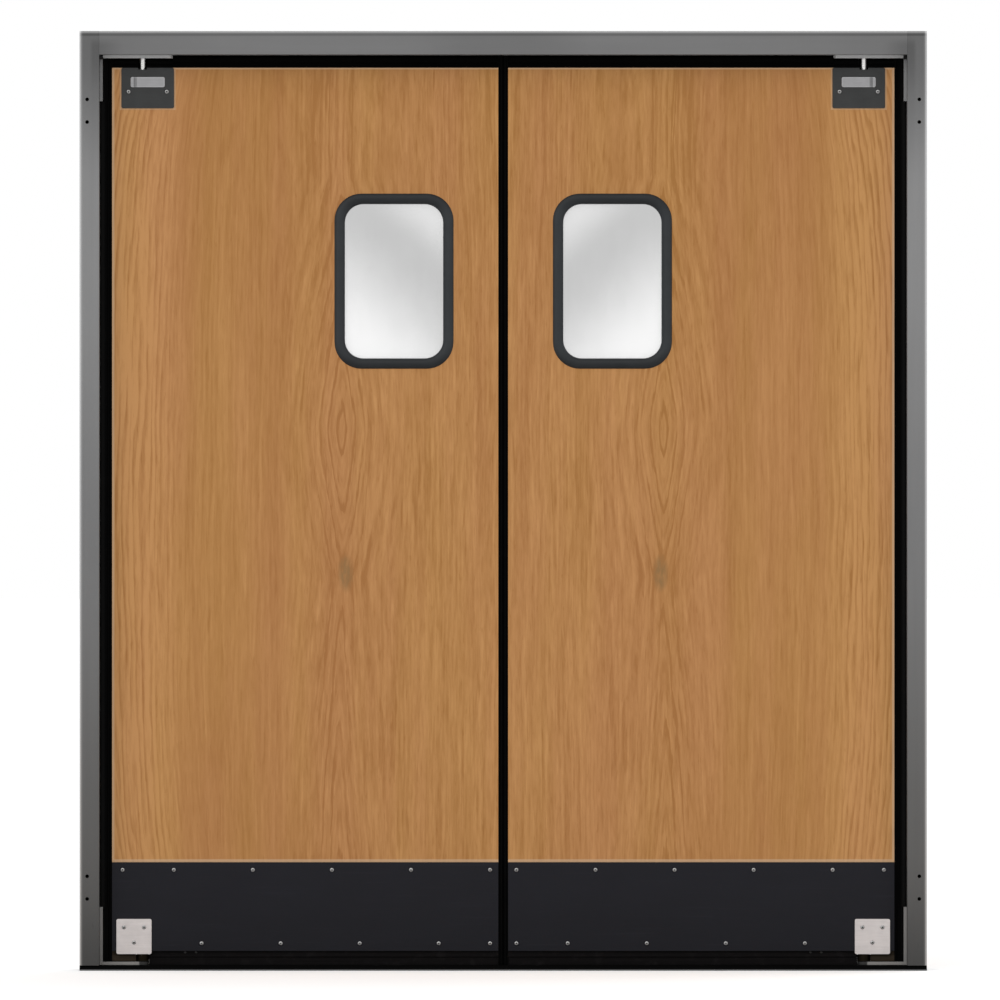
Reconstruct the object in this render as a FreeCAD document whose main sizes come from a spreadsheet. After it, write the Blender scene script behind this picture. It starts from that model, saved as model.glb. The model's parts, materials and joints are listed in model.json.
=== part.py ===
import FreeCAD, Part
import math
import os
import Sketcher
from FreeCAD import Placement, Rotation, Vector

# A pair of double-acting swing doors in a frame of welded steel channel.
# Millimetres, +Z up. The origin is on the floor, midway between the jambs and midway through the frame.
# The front faces -Y. The left half is modelled, and the right half is its mirror image in X.

doc = FreeCAD.newDocument("double_swing_door")
sheet = doc.addObject("Spreadsheet::Sheet", "Sizes")
nodes = []


class Size:
    """A length together with the spreadsheet expression that drives it."""

    def __init__(self, text, value):
        self.text = text
        self.value = value

    def __add__(self, other):
        other = as_size(other)
        return Size(f"({self.text} + {other.text})", self.value + other.value)

    def __sub__(self, other):
        other = as_size(other)
        return Size(f"({self.text} - {other.text})", self.value - other.value)

    def __mul__(self, factor):
        return Size(f"({self.text} * {factor})", self.value * factor)

    def __truediv__(self, divisor):
        return Size(f"({self.text} / {divisor})", self.value / divisor)

    def __neg__(self):
        return Size(f"(-{self.text})", -self.value)


def as_size(length):
    return length if isinstance(length, Size) else Size(str(length), length)


def size(alias, value, meaning):
    """Add a driving dimension to the spreadsheet."""
    row = len(sheet.getUsedCells()) // 3 + 1
    sheet.set(f"A{row}", meaning)
    sheet.set(f"B{row}", str(value))
    sheet.set(f"C{row}", "mm")
    sheet.setAlias(f"B{row}", alias)
    return Size(f"Sizes.{alias}", value)


# Frame
opening_width = size("opening_width", 1857, "clear width between the jambs")
opening_height = size("opening_height", 2105, "floor to the underside of the header")
jamb_face = size("jamb_face", 45, "width of a jamb seen from the front")
header_face = size("header_face", 54, "height of the header seen from the front")
frame_depth = size("frame_depth", 120, "frame through the wall")
frame_gauge = size("frame_gauge", 2, "thickness of the frame steel")
return_lip = size("return_lip", 14, "lip turned in at the wall side of the frame")
threshold_height = size("threshold_height", 12, "height of the threshold bar")
threshold_bevel = size("threshold_bevel", 4, "bevel along the threshold's top edges")
anchor_diameter = size("anchor_diameter", 8.5, "anchor hole in the jamb faces")
anchor_inset = size("anchor_inset", 17.5, "outer edge of the jamb to the anchor holes")
anchor_drop = size("anchor_drop", 157, "top of the frame to the highest anchor hole")
anchor_rise = size("anchor_rise", 165, "floor to the lowest anchor hole")
anchor_spacing = size("anchor_spacing", 52, "between the two holes of an anchor pair")
clip_leg = size("clip_leg", 30, "leg of an angle clip inside the frame")
clip_gauge = size("clip_gauge", 3, "thickness of an angle clip")
clip_width = size("clip_width", 80, "width of an angle clip through the frame")

# Pivot brackets and pins
bracket_gauge = size("bracket_gauge", 7, "thickness of the pivot brackets")
header_strap_width = size("header_strap_width", 50, "width of the upper bracket through the frame")
header_overrun = size("header_overrun", 69.5, "strap along the header, past the pivot axis")
header_drop = size("header_drop", 106, "leg of the upper bracket down the jamb")
floor_rise = size("floor_rise", 133, "leg of the lower bracket up the jamb")
pivot_backset = size("pivot_backset", 70, "hinge edge of the leaf to the pivot axis")
pin_diameter = size("pin_diameter", 13, "pivot pins")
pin_tip = size("pin_tip", 1.5, "bevel on the free end of a pivot pin")
pin_end_gap = size("pin_end_gap", 2, "free end of a pin to the end of its bush")
bush_wall = size("bush_wall", 2, "wall of a pivot bush")
running_clearance = size("running_clearance", 0.05, "pin to bush, on the radius")
upper_bush_length = size("upper_bush_length", 54, "length of the upper bush")
lower_bush_length = size("lower_bush_length", 52, "length of the lower bush")
collar_diameter = size("collar_diameter", 30, "thrust collar, and the lower bracket that it stands on")
collar_bevel = size("collar_bevel", 1.5, "bevel on the collar's outer edges")
collar_gap = size("collar_gap", 0.3, "thrust collar to the bearing block that it carries")

# Countersunk bracket screws
bracket_screw_shank = size("bracket_screw_shank", 8, "shank diameter of a bracket screw")
bracket_screw_head = size("bracket_screw_head", 15, "head diameter of a bracket screw")
bracket_screw_sink = size("bracket_screw_sink", 4, "depth of a bracket screw's countersink")
bracket_screw_length = size("bracket_screw_length", 15, "length of a bracket screw")
bracket_screw_margin = size("bracket_screw_margin", 20, "end of a bracket leg to its last screw")
hole_clearance = size("hole_clearance", 0.1, "screw to its hole, on the radius")

# Leaf panel
hinge_gap = size("hinge_gap", 28.5, "jamb to the hinge edge of the leaf")
meeting_gap = size("meeting_gap", 22.6, "between the two leaves")
top_gap = size("top_gap", 29, "header to the top of the leaf")
bottom_gap = size("bottom_gap", 44, "floor to the bottom of the leaf")
core_thickness = size("core_thickness", 19, "solid core of the leaf")
laminate_thickness = size("laminate_thickness", 1.2, "laminate on each face")
kick_height = size("kick_height", 204, "kick plate height")
kick_thickness = size("kick_thickness", 2.5, "kick plate thickness")
notch_clearance = size("notch_clearance", 0.3, "bearing block to the notch in the leaf")

# Pan head screws in the leaf
pan_shank = size("pan_shank", 4.5, "shank diameter of a pan head screw")
pan_tip_gap = size("pan_tip_gap", 1.2, "tip of a kick plate screw to the leaf's mid-plane")
pan_head = size("pan_head", 9.5, "head diameter of a pan head screw")
pan_crown = size("pan_crown", 6, "flat on top of a pan head")
pan_rim = size("pan_rim", 1.2, "straight rim of a pan head")
pan_height = size("pan_height", 2.8, "height of a pan head")
kick_screw_margin = size("kick_screw_margin", 17.5, "screw rows to the kick plate's top and bottom")
kick_screw_inset = size("kick_screw_inset", 19, "meeting edge to the first screw")
kick_screw_hinge_inset = size("kick_screw_hinge_inset", 24, "hinge edge to the last screw of the top row")
kick_screw_offset = size("kick_screw_offset", 118, "odd spacing at the end of each row")

# Window
window_width = size("window_width", 226, "clear width of the window")
window_height = size("window_height", 355, "clear height of the window")
window_corner = size("window_corner", 39, "corner radius of the clear window")
window_from_meeting = size("window_from_meeting", 240, "meeting edge to the window's centre")
window_from_top = size("window_from_top", 491, "top of the leaf to the window's centre")
moulding_web = size("moulding_web", 5, "moulding between the leaf's edge and the pane's edge")
moulding_corner = size("moulding_corner", 56, "outer corner radius of the moulding")
moulding_bite = size("moulding_bite", 12, "overlap of the moulding on the leaf")
moulding_proud = size("moulding_proud", 6, "moulding above the laminate")
moulding_round = size("moulding_round", 5, "rounded outer edge of the moulding")
pane_thickness = size("pane_thickness", 5, "window pane")
pane_bite = size("pane_bite", 7, "pane held in the moulding's groove")

# Upper hinge
plate_gauge = size("plate_gauge", 3, "thickness of the hinge plates")
plate_corner = size("plate_corner", 4, "corner radius of the hinge plates")
upper_plate_width = size("upper_plate_width", 121, "upper hinge plate")
upper_plate_height = size("upper_plate_height", 93, "upper hinge plate")
upper_plate_offset = size("upper_plate_offset", 12, "pivot axis to the plate's centre, away from the jamb")
slot_width = size("slot_width", 79, "slot that shows the bearing block")
slot_height = size("slot_height", 24, "slot that shows the bearing block")
slot_drop = size("slot_drop", 33, "top of the leaf to the slot's centre")
boss_clearance = size("boss_clearance", 0.3, "bearing block's boss to the slot")
boss_groove = size("boss_groove", 1.6, "width and depth of the groove across the boss")
boss_groove_inset = size("boss_groove_inset", 8, "hinge end of the boss to its groove")
upper_screw_gap = size("upper_screw_gap", 7, "upper bearing block to the plate's screws")
upper_screw_drop = size("upper_screw_drop", 10, "slot to the level of the upper plate's screws")
upper_block_width = size("upper_block_width", 74, "upper bearing block")
upper_block_cap = size("upper_block_cap", 18, "solid end of the upper bearing block beyond its bush")
pin_recess_width = size("pin_recess_width", 20, "recess round the pin at the top of the hinge")
pin_recess_depth = size("pin_recess_depth", 4, "recess round the pin at the top of the hinge")

# Lower hinge
lower_plate_width = size("lower_plate_width", 81, "lower hinge plate")
lower_plate_margin = size("lower_plate_margin", 19, "high screws to the lower plate's top")
lower_plate_offset = size("lower_plate_offset", 19.5, "pivot axis to the plate's centre, towards the jamb")
lower_plate_overhang = size("lower_plate_overhang", 7.4, "plate below the leaf")
lower_screw_spread = size("lower_screw_spread", 46, "between the lower plate's two high screws")
lower_screw_rise = size("lower_screw_rise", 6, "lower bearing block to the high screws above it")
lower_screw_gap = size("lower_screw_gap", 5.5, "lower bearing block to the low screw beside it")
lower_screw_low = size("lower_screw_low", 27, "bottom of the lower plate to its low screw")
lower_block_width = size("lower_block_width", 28, "lower bearing block")
lower_block_cap = size("lower_block_cap", 4, "solid end of the lower bearing block beyond its bush")

# Gaskets
gasket_thickness = size("gasket_thickness", 10, "edge gaskets")
top_gasket_thickness = size("top_gasket_thickness", 14, "top gasket, which passes behind the pin")
seal_clearance = size("seal_clearance", 0.5, "gasket to the frame that it seals on")
meeting_clearance = size("meeting_clearance", 0.3, "meeting gasket to the middle of the opening")
bracket_clearance = size("bracket_clearance", 1, "gasket to a bracket that it passes")
floor_clearance = size("floor_clearance", 1, "bottom sweep to the threshold")
pin_clearance = size("pin_clearance", 1.5, "gasket to a pin or collar")

doc.recompute()

# Lines and levels that several pieces share
jamb_line = -(opening_width / 2)
outer_line = jamb_line - jamb_face
frame_top = opening_height + header_face
frame_half = frame_depth / 2
hinge_edge = jamb_line + hinge_gap
pivot_inset = hinge_gap + pivot_backset
pivot_line = jamb_line + pivot_inset
pin_radius = pin_diameter / 2
bore_radius = pin_radius + running_clearance
bush_radius = bore_radius + bush_wall
meeting_edge = -(meeting_gap / 2)
leaf_top = opening_height - top_gap
leaf_bottom = bottom_gap
core_half = core_thickness / 2
leaf_half = core_half + laminate_thickness
kick_half = leaf_half + kick_thickness
kick_top = leaf_bottom + kick_height
window_x = meeting_edge - window_from_meeting
window_z = leaf_top - window_from_top
moulding_half = leaf_half + moulding_proud
cutout_margin = moulding_web + pane_bite
moulding_width = moulding_bite + cutout_margin
upper_plate_x = pivot_line + upper_plate_offset
upper_plate_half = leaf_half + plate_gauge
upper_bush_top = leaf_top - pin_recess_depth
upper_bush_bottom = upper_bush_top - upper_bush_length
upper_block_bottom = upper_bush_bottom - upper_block_cap
lower_plate_x = pivot_line - lower_plate_offset
lower_plate_half = kick_half + plate_gauge
lower_plate_bottom = leaf_bottom - lower_plate_overhang
lower_bush_top = lower_plate_bottom + lower_bush_length
lower_block_top = lower_bush_top + lower_block_cap
lower_screw_level = lower_block_top + lower_screw_rise
lower_plate_top = lower_screw_level + lower_plate_margin
header_strap = pivot_inset + header_overrun
floor_strap = pivot_inset + collar_diameter / 2
floor_strap_top = threshold_height + bracket_gauge
header_strap_bottom = opening_height - bracket_gauge
pan_length = kick_half - pan_tip_gap


def bind(thing, place, length):
    thing.setExpression(place, as_size(length).text)


def put(thing, x, y, z):
    """Drive an object's position."""
    for axis, length in zip("xyz", (x, y, z)):
        bind(thing, f"Placement.Base.{axis}", length)
    return thing


def node(label, thing):
    """Name a finished sub-part."""
    thing.Label = label
    nodes.append(thing)
    return thing


def box(name, across, deep, tall):
    """A box between low and high sizes in X, Y and Z."""
    block = doc.addObject("Part::Box", name)
    for side, (low, high) in zip(("Length", "Width", "Height"), (across, deep, tall)):
        bind(block, side, as_size(high) - low)
    return put(block, across[0], deep[0], tall[0])


TURNS = {
    "+X": Rotation(Vector(0, 1, 0), 90),
    "-X": Rotation(Vector(0, 1, 0), -90),
    "+Y": Rotation(Vector(1, 0, 0), -90),
    "-Y": Rotation(Vector(1, 0, 0), 90),
    "+Z": Rotation(),
    "-Z": Rotation(Vector(1, 0, 0), 180),
}


def cylinder(name, radius, height, start, direction):
    """A cylinder from a start point along a direction."""
    rod = doc.addObject("Part::Cylinder", name)
    rod.Placement = Placement(Vector(), TURNS[direction])
    bind(rod, "Radius", radius)
    bind(rod, "Height", height)
    return put(rod, *start)


def compound(name, pieces):
    group = doc.addObject("Part::Compound", name)
    group.Links = pieces
    return group


def cut(name, base, tools):
    """A base with one or more separate tools taken away."""
    result = doc.addObject("Part::Cut", name)
    result.Base = base
    result.Tool = tools[0] if len(tools) == 1 else compound(name + "_tools", tools)
    return result


def fuse(name, pieces):
    result = doc.addObject("Part::MultiFuse", name)
    result.Shapes = pieces
    return result


def new_sketch(body, role):
    """A sketch on one of the body's own origin planes."""
    plane = [feature for feature in body.Origin.OriginFeatures if feature.Role == role][0]
    sketch = body.newObject("Sketcher::SketchObject", body.Name + "_sketch")
    sketch.AttachmentSupport = (plane, [""])
    sketch.MapMode = "FlatFace"
    return sketch


def dimension(sketch, name, length, *where):
    """A named sketch dimension driven by the spreadsheet."""
    kind, *points = where
    number = sketch.addConstraint(Sketcher.Constraint(kind, *points, length.value))
    sketch.renameConstraint(number, name)
    bind(sketch, f"Constraints.{name}", length)


def polygon(sketch, points):
    """A closed outline of straight lines, with every corner dimensioned from the origin."""
    points = [(as_size(x), as_size(y)) for x, y in points]
    corners = [Vector(x.value, y.value, 0) for x, y in points]
    count = len(corners)
    for index in range(count):
        sketch.addGeometry(Part.LineSegment(corners[index], corners[(index + 1) % count]), False)
    for index, (x, y) in enumerate(points):
        sketch.addConstraint(Sketcher.Constraint("Coincident", (index - 1) % count, 2, index, 1))
        dimension(sketch, f"x{index}", x, "DistanceX", -1, 1, index, 1)
        dimension(sketch, f"y{index}", y, "DistanceY", -1, 1, index, 1)


def rounded_rectangle(sketch, width, height, corner):
    """A rectangle with rounded corners, centred on the sketch's origin."""
    x, y, r = width.value / 2, height.value / 2, corner.value
    ends = [
        (Vector(r - x, -y, 0), Vector(x - r, -y, 0)),
        (Vector(x, r - y, 0), Vector(x, y - r, 0)),
        (Vector(x - r, y, 0), Vector(r - x, y, 0)),
        (Vector(-x, y - r, 0), Vector(-x, r - y, 0)),
    ]
    for start, end in ends:
        sketch.addGeometry(Part.LineSegment(start, end), False)
    signs = [(1, -1), (1, 1), (-1, 1), (-1, -1)]
    centres = [Vector((x - r) * right, (y - r) * up, 0) for right, up in signs]
    for quarter, centre in enumerate(centres):
        start = math.radians(90 * (quarter - 1))
        circle = Part.Circle(centre, Vector(0, 0, 1), r)
        sketch.addGeometry(Part.ArcOfCircle(circle, start, start + math.pi / 2), False)
    for side in range(4):
        arc = 4 + side
        sketch.addConstraint(Sketcher.Constraint("Tangent", side, 2, arc, 1))
        sketch.addConstraint(Sketcher.Constraint("Tangent", arc, 2, (side + 1) % 4, 1))
        sketch.addConstraint(Sketcher.Constraint("Vertical" if side % 2 else "Horizontal", side))
    for arc in (4, 5, 6):
        sketch.addConstraint(Sketcher.Constraint("Equal", arc, arc + 1))
    sketch.addConstraint(Sketcher.Constraint("Symmetric", 0, 1, 2, 1, -1, 1))
    dimension(sketch, "corner", corner, "Radius", 4)
    dimension(sketch, "width", width, "DistanceX", 3, 1, 1, 1)
    dimension(sketch, "height", height, "DistanceY", 0, 1, 2, 1)


def tongue(sketch, length, thickness):
    """A gasket section or strap: flat at the origin, half-round at its length along the sketch's X."""
    half = thickness / 2
    run = length - half
    radius = half.value
    low = Vector(0, -radius, 0)
    high = Vector(0, radius, 0)
    tip = Vector(run.value, 0, 0)
    sketch.addGeometry(Part.LineSegment(low, tip + low), False)
    sketch.addGeometry(Part.LineSegment(tip + high, high), False)
    sketch.addGeometry(Part.LineSegment(high, low), False)
    circle = Part.Circle(tip, Vector(0, 0, 1), radius)
    sketch.addGeometry(Part.ArcOfCircle(circle, -math.pi / 2, math.pi / 2), False)
    sketch.addConstraint(Sketcher.Constraint("Coincident", 2, 2, 0, 1))
    sketch.addConstraint(Sketcher.Constraint("Coincident", 1, 2, 2, 1))
    sketch.addConstraint(Sketcher.Constraint("Tangent", 0, 2, 3, 1))
    sketch.addConstraint(Sketcher.Constraint("Tangent", 3, 2, 1, 1))
    sketch.addConstraint(Sketcher.Constraint("Horizontal", 0))
    sketch.addConstraint(Sketcher.Constraint("Horizontal", 1))
    sketch.addConstraint(Sketcher.Constraint("Vertical", 2))
    sketch.addConstraint(Sketcher.Constraint("Symmetric", 2, 1, 2, 2, -1, 1))
    dimension(sketch, "thickness", thickness, "DistanceY", 2, 2, 2, 1)
    dimension(sketch, "run", run, "DistanceX", 0, 1, 0, 2)


def nosed_strap(sketch, pivot, nose, width):
    """A strap from the origin along the sketch's X that ends in an arc about a pivot."""
    half = width.value / 2
    turn = math.asin(half / nose.value)
    end = pivot.value + nose.value * math.cos(turn)
    low = Vector(0, -half, 0)
    high = Vector(0, half, 0)
    sketch.addGeometry(Part.LineSegment(low, Vector(end, -half, 0)), False)
    sketch.addGeometry(Part.LineSegment(Vector(end, half, 0), high), False)
    sketch.addGeometry(Part.LineSegment(high, low), False)
    circle = Part.Circle(Vector(pivot.value, 0, 0), Vector(0, 0, 1), nose.value)
    sketch.addGeometry(Part.ArcOfCircle(circle, -turn, turn), False)
    for first, second in ((2, 0), (1, 2), (0, 3), (3, 1)):
        sketch.addConstraint(Sketcher.Constraint("Coincident", first, 2, second, 1))
    sketch.addConstraint(Sketcher.Constraint("Horizontal", 0))
    sketch.addConstraint(Sketcher.Constraint("Horizontal", 1))
    sketch.addConstraint(Sketcher.Constraint("Vertical", 2))
    sketch.addConstraint(Sketcher.Constraint("Symmetric", 2, 1, 2, 2, -1, 1))
    sketch.addConstraint(Sketcher.Constraint("PointOnObject", 3, 3, -1))
    dimension(sketch, "width", width, "DistanceY", 2, 2, 2, 1)
    dimension(sketch, "pivot", pivot, "DistanceX", -1, 1, 3, 3)
    dimension(sketch, "nose", nose, "Radius", 3)


def pad(name, role, outline, sizes, length, midplane):
    """A body padded from one outline on one of its origin planes."""
    body = doc.addObject("PartDesign::Body", name)
    sketch = new_sketch(body, role)
    outline(sketch, *sizes)
    feature = body.newObject("PartDesign::Pad", name + "_pad")
    feature.Profile = sketch
    feature.Midplane = midplane
    bind(feature, "Length", length)
    return body


def turned(name, points):
    """A body turned about its own Z axis from an outline of radius and height."""
    body = doc.addObject("PartDesign::Body", name)
    sketch = new_sketch(body, "XZ_Plane")
    polygon(sketch, points)
    feature = body.newObject("PartDesign::Revolution", name + "_turn")
    feature.Profile = sketch
    feature.ReferenceAxis = (sketch, ["V_Axis"])
    feature.Angle = 360
    return body


def copy_of(master, name, direction, start):
    """A linked copy whose own +Z points along a direction."""
    link = doc.addObject("App::Link", name)
    link.LinkedObject = master
    link.Placement = Placement(Vector(), TURNS[direction])
    return put(link, *start)


def channel(name, face, length):
    """A channel welded up from a flat web at zero and a lipped face angle to each side, open at the wall."""
    inner = frame_half - frame_gauge
    lip = frame_half - return_lip
    lip_line = face - frame_gauge

    def web(sketch):
        polygon(sketch, [(0, -inner), (frame_gauge, -inner), (frame_gauge, inner), (0, inner)])

    def face_angle(sketch, side):
        outside = [(0, inner), (0, frame_half), (face, frame_half), (face, lip)]
        inside = [(lip_line, lip), (lip_line, inner)]
        polygon(sketch, [(x, y * side) for x, y in outside + inside])

    strips = [pad(name + "_web", "XY_Plane", web, [], length, False)]
    for number, side in enumerate((-1, 1)):
        strips.append(pad(f"{name}_face_{number}", "XY_Plane", face_angle, [side], length, False))
    return compound(name, strips)


# Screw positions, each a place and the direction from head to tip

upper_jamb_reach = header_drop - bracket_screw_margin
lower_jamb_reach = floor_rise - bracket_screw_margin
upper_jamb_levels = [opening_height - upper_jamb_reach / 2, opening_height - upper_jamb_reach]
lower_jamb_levels = [threshold_height + lower_jamb_reach / 2, threshold_height + lower_jamb_reach]
header_screw_lines = [jamb_line + pivot_inset / 2, jamb_line + header_strap - bracket_screw_margin]
floor_screw_lines = [jamb_line + pivot_inset / 3, jamb_line + pivot_inset / 3 * 2]
bracket_line = jamb_line + bracket_gauge
bracket_screw_places = (
    [((x, 0, header_strap_bottom), "+Z") for x in header_screw_lines]
    + [((bracket_line, 0, z), "-X") for z in upper_jamb_levels]
    + [((x, 0, floor_strap_top), "-Z") for x in floor_screw_lines]
    + [((bracket_line, 0, z), "-X") for z in lower_jamb_levels]
)

# The top row's odd spacing is at its hinge end and the bottom row's is at its meeting end.
first_kick_screw = meeting_edge - kick_screw_inset
last_kick_screw = hinge_edge + kick_screw_hinge_inset
kick_screw_pitch = (first_kick_screw - last_kick_screw - kick_screw_offset) / 4
kick_top_row = [first_kick_screw - kick_screw_pitch * step for step in range(5)] + [last_kick_screw]
kick_bottom_row = [first_kick_screw]
kick_bottom_row += [first_kick_screw - kick_screw_offset - kick_screw_pitch * step for step in range(4)]
kick_screw_places = [(x, kick_top - kick_screw_margin) for x in kick_top_row]
kick_screw_places += [(x, leaf_bottom + kick_screw_margin) for x in kick_bottom_row]
upper_screw_reach = upper_block_width / 2 + upper_screw_gap
upper_screw_level = leaf_top - slot_drop - slot_height / 2 - upper_screw_drop
upper_screw_places = [(upper_plate_x + upper_screw_reach * side, upper_screw_level) for side in (-1, 1)]
lower_screw_places = [(lower_plate_x + lower_screw_spread / 2 * side, lower_screw_level) for side in (-1, 1)]
low_screw_line = pivot_line - lower_block_width / 2 - lower_screw_gap
lower_screw_places.append((low_screw_line, lower_plate_bottom + lower_screw_low))


# Frame

def bracket_screw_master():
    shank = bracket_screw_shank / 2
    head = bracket_screw_head / 2
    sink, end = bracket_screw_sink, bracket_screw_length
    return turned("bracket_screw", [(0, 0), (head, 0), (shank, sink), (shank, end), (0, end)])


def bracket_screw_hole_master():
    """The room that a bracket screw needs: its own shape and a clearance all round."""
    shank = bracket_screw_shank / 2 + hole_clearance
    head = bracket_screw_head / 2 + hole_clearance
    sink, end = bracket_screw_sink, bracket_screw_length + pin_tip
    return turned("bracket_screw_hole", [(0, 0), (head, 0), (shank, sink), (shank, end), (0, end)])


def bracket_screw_copies(master, stem):
    return [
        copy_of(master, f"{stem}_{number}", direction, start)
        for number, (start, direction) in enumerate(bracket_screw_places)
    ]


screw_holes = bracket_screw_copies(bracket_screw_hole_master(), "bracket_hole")
header_holes, upper_jamb_holes = screw_holes[0:2], screw_holes[2:4]
floor_holes, lower_jamb_holes = screw_holes[4:6], screw_holes[6:8]


def left_jamb():
    upright = channel("left_jamb_channel", jamb_face, frame_top - threshold_height)
    upright.Placement = Placement(Vector(), Rotation(Vector(0, 0, 1), 180))
    put(upright, jamb_line, 0, threshold_height)
    levels = [frame_top - anchor_drop, frame_top - anchor_drop - anchor_spacing]
    levels += [anchor_rise, anchor_rise + anchor_spacing]
    anchors = [
        cylinder(
            f"anchor_hole_{number}",
            anchor_diameter / 2,
            frame_depth,
            (outer_line + anchor_inset, -frame_half, z),
            "+Y",
        )
        for number, z in enumerate(levels)
    ]
    return cut("left_jamb", upright, anchors + upper_jamb_holes + lower_jamb_holes)


def mirrored(name, source):
    """The right-hand copy of a left-hand piece."""
    copy = doc.addObject("Part::Mirroring", name)
    copy.Source = source
    copy.Normal = Vector(1, 0, 0)
    copy.Base = Vector(0, 0, 0)
    return copy


def header():
    lintel = channel("header_channel", header_face, opening_width)
    # The channel's length runs along +X, its web faces down and its open side faces up.
    turn = Rotation(Vector(0, 0, 1), Vector(0, -1, 0), Vector(1, 0, 0), "ZXY")
    lintel.Placement = Placement(Vector(), turn)
    put(lintel, jamb_line, 0, opening_height)
    left = compound("header_left_holes", header_holes)
    return cut("header", lintel, [left, mirrored("header_right_holes", left)])


def threshold():
    def section(sketch):
        bevel = frame_half - threshold_bevel
        shoulder = threshold_height - threshold_bevel
        near = [(frame_half, 0), (frame_half, shoulder), (bevel, threshold_height)]
        polygon(sketch, near + [(-y, z) for y, z in reversed(near)])

    bar = pad("threshold_bar", "YZ_Plane", section, [], -(outer_line * 2), True)
    left = compound("threshold_left_holes", floor_holes)
    return cut("threshold", bar, [left, mirrored("threshold_right_holes", left)])


def frame_clips():
    """Angle clips: header to jamb at the top corners, and jamb to threshold at the bottom corners."""

    def section(sketch):
        leg, gauge = clip_leg, clip_gauge
        polygon(sketch, [(0, 0), (leg, 0), (leg, gauge), (gauge, gauge), (gauge, leg), (0, leg)])

    master = pad("clip", "XZ_Plane", section, [], clip_width, True)
    top = copy_of(master, "left_top_clip", "+Z", (jamb_line, 0, opening_height + frame_gauge))
    foot = copy_of(master, "left_foot_clip", "-X", (jamb_line - frame_gauge, 0, threshold_height))
    left = compound("left_clips", [top, foot])
    return compound("frame_clips", [left, mirrored("right_clips", left)])


def bracket(name, strap, strap_bottom, width, levels, holes):
    """A steel angle: a strap on the header or threshold, bored for its pin, and a leg on the jamb."""
    put(strap, jamb_line, 0, strap_bottom)
    half = width / 2
    leg = box(name + "_leg", (jamb_line, jamb_line + bracket_gauge), (-half, half), levels)
    bore = cylinder(name + "_pin_hole", pin_radius, bracket_gauge, (pivot_line, 0, strap_bottom), "+Z")
    return cut(name, fuse(name + "_angle", [strap, leg]), [bore] + holes)


def header_bracket():
    """The strap ends in an arc about the pin, which the top gasket swings past."""
    sizes = [pivot_inset, header_overrun, header_strap_width]
    strap = pad("header_strap", "XY_Plane", nosed_strap, sizes, bracket_gauge, False)
    levels = (opening_height - header_drop, header_strap_bottom)
    holes = header_holes + upper_jamb_holes
    return bracket("left_header_bracket", strap, header_strap_bottom, header_strap_width, levels, holes)


def lower_bracket():
    """The strap is as wide as the collar that stands on it, and ends in a half circle about the pin."""
    strap = pad("floor_strap", "XY_Plane", tongue, [floor_strap, collar_diameter], bracket_gauge, False)
    levels = (floor_strap_top, threshold_height + floor_rise)
    holes = floor_holes + lower_jamb_holes
    return bracket("left_lower_bracket", strap, threshold_height, collar_diameter, levels, holes)


def pivot_pin(name, length, direction, z):
    """A pin set in its bracket at one end, with a bevelled free end."""
    tip = pin_radius - pin_tip
    body = turned(name, [(0, 0), (pin_radius, 0), (pin_radius, length - pin_tip), (tip, length), (0, length)])
    body.Placement = Placement(Vector(), TURNS[direction])
    return put(body, pivot_line, 0, z)


def thrust_collar():
    rim = collar_diameter / 2
    height = lower_plate_bottom - collar_gap - floor_strap_top
    outline = [
        (pin_radius, 0),
        (rim - collar_bevel, 0),
        (rim, collar_bevel),
        (rim, height - collar_bevel),
        (rim - collar_bevel, height),
        (pin_radius, height),
    ]
    return put(turned("left_thrust_collar", outline), pivot_line, 0, floor_strap_top)


def bracket_screws():
    left = compound("left_bracket_screws", bracket_screw_copies(bracket_screw_master(), "bracket_screw"))
    return compound("bracket_screws", [left, mirrored("right_bracket_screws", left)])


# Leaf

def pan_screw_master():
    shank = pan_shank / 2
    rim = pan_head / 2
    crown = pan_crown / 2
    outline = [
        (0, -pan_height),
        (crown, -pan_height),
        (rim, -pan_rim),
        (rim, 0),
        (shank, 0),
        (shank, pan_length),
        (0, pan_length),
    ]
    return turned("pan_screw", outline)


def pan_screw_copies(stem, places, surface, master):
    """Screws at the same places on the front and rear faces, at a distance from the leaf's mid-plane."""
    copies = []
    for number, (x, z) in enumerate(places):
        copies.append(copy_of(master, f"{stem}_front_{number}", "+Y", (x, -surface, z)))
        copies.append(copy_of(master, f"{stem}_rear_{number}", "-Y", (x, surface, z)))
    return copies


def pan_holes(stem, places):
    """Clearance holes right through the leaf and its plates."""
    reach = lower_plate_half
    return [
        cylinder(f"{stem}_{number}", pan_shank / 2 + hole_clearance, reach * 2, (x, -reach, z), "+Y")
        for number, (x, z) in enumerate(places)
    ]


def rounded_prism(name, width, height, corner, thickness, x, z):
    """A rounded rectangle in the plane of the leaf, padded equally to the front and rear."""
    body = pad(name, "XZ_Plane", rounded_rectangle, [width, height, corner], thickness, True)
    return put(body, x, 0, z)


def window_prism(name, margin, corner, thickness):
    """A window outline with a margin round the clear opening."""
    width = window_width + margin * 2
    height = window_height + margin * 2
    return rounded_prism(name, width, height, corner, thickness, window_x, window_z)


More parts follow.
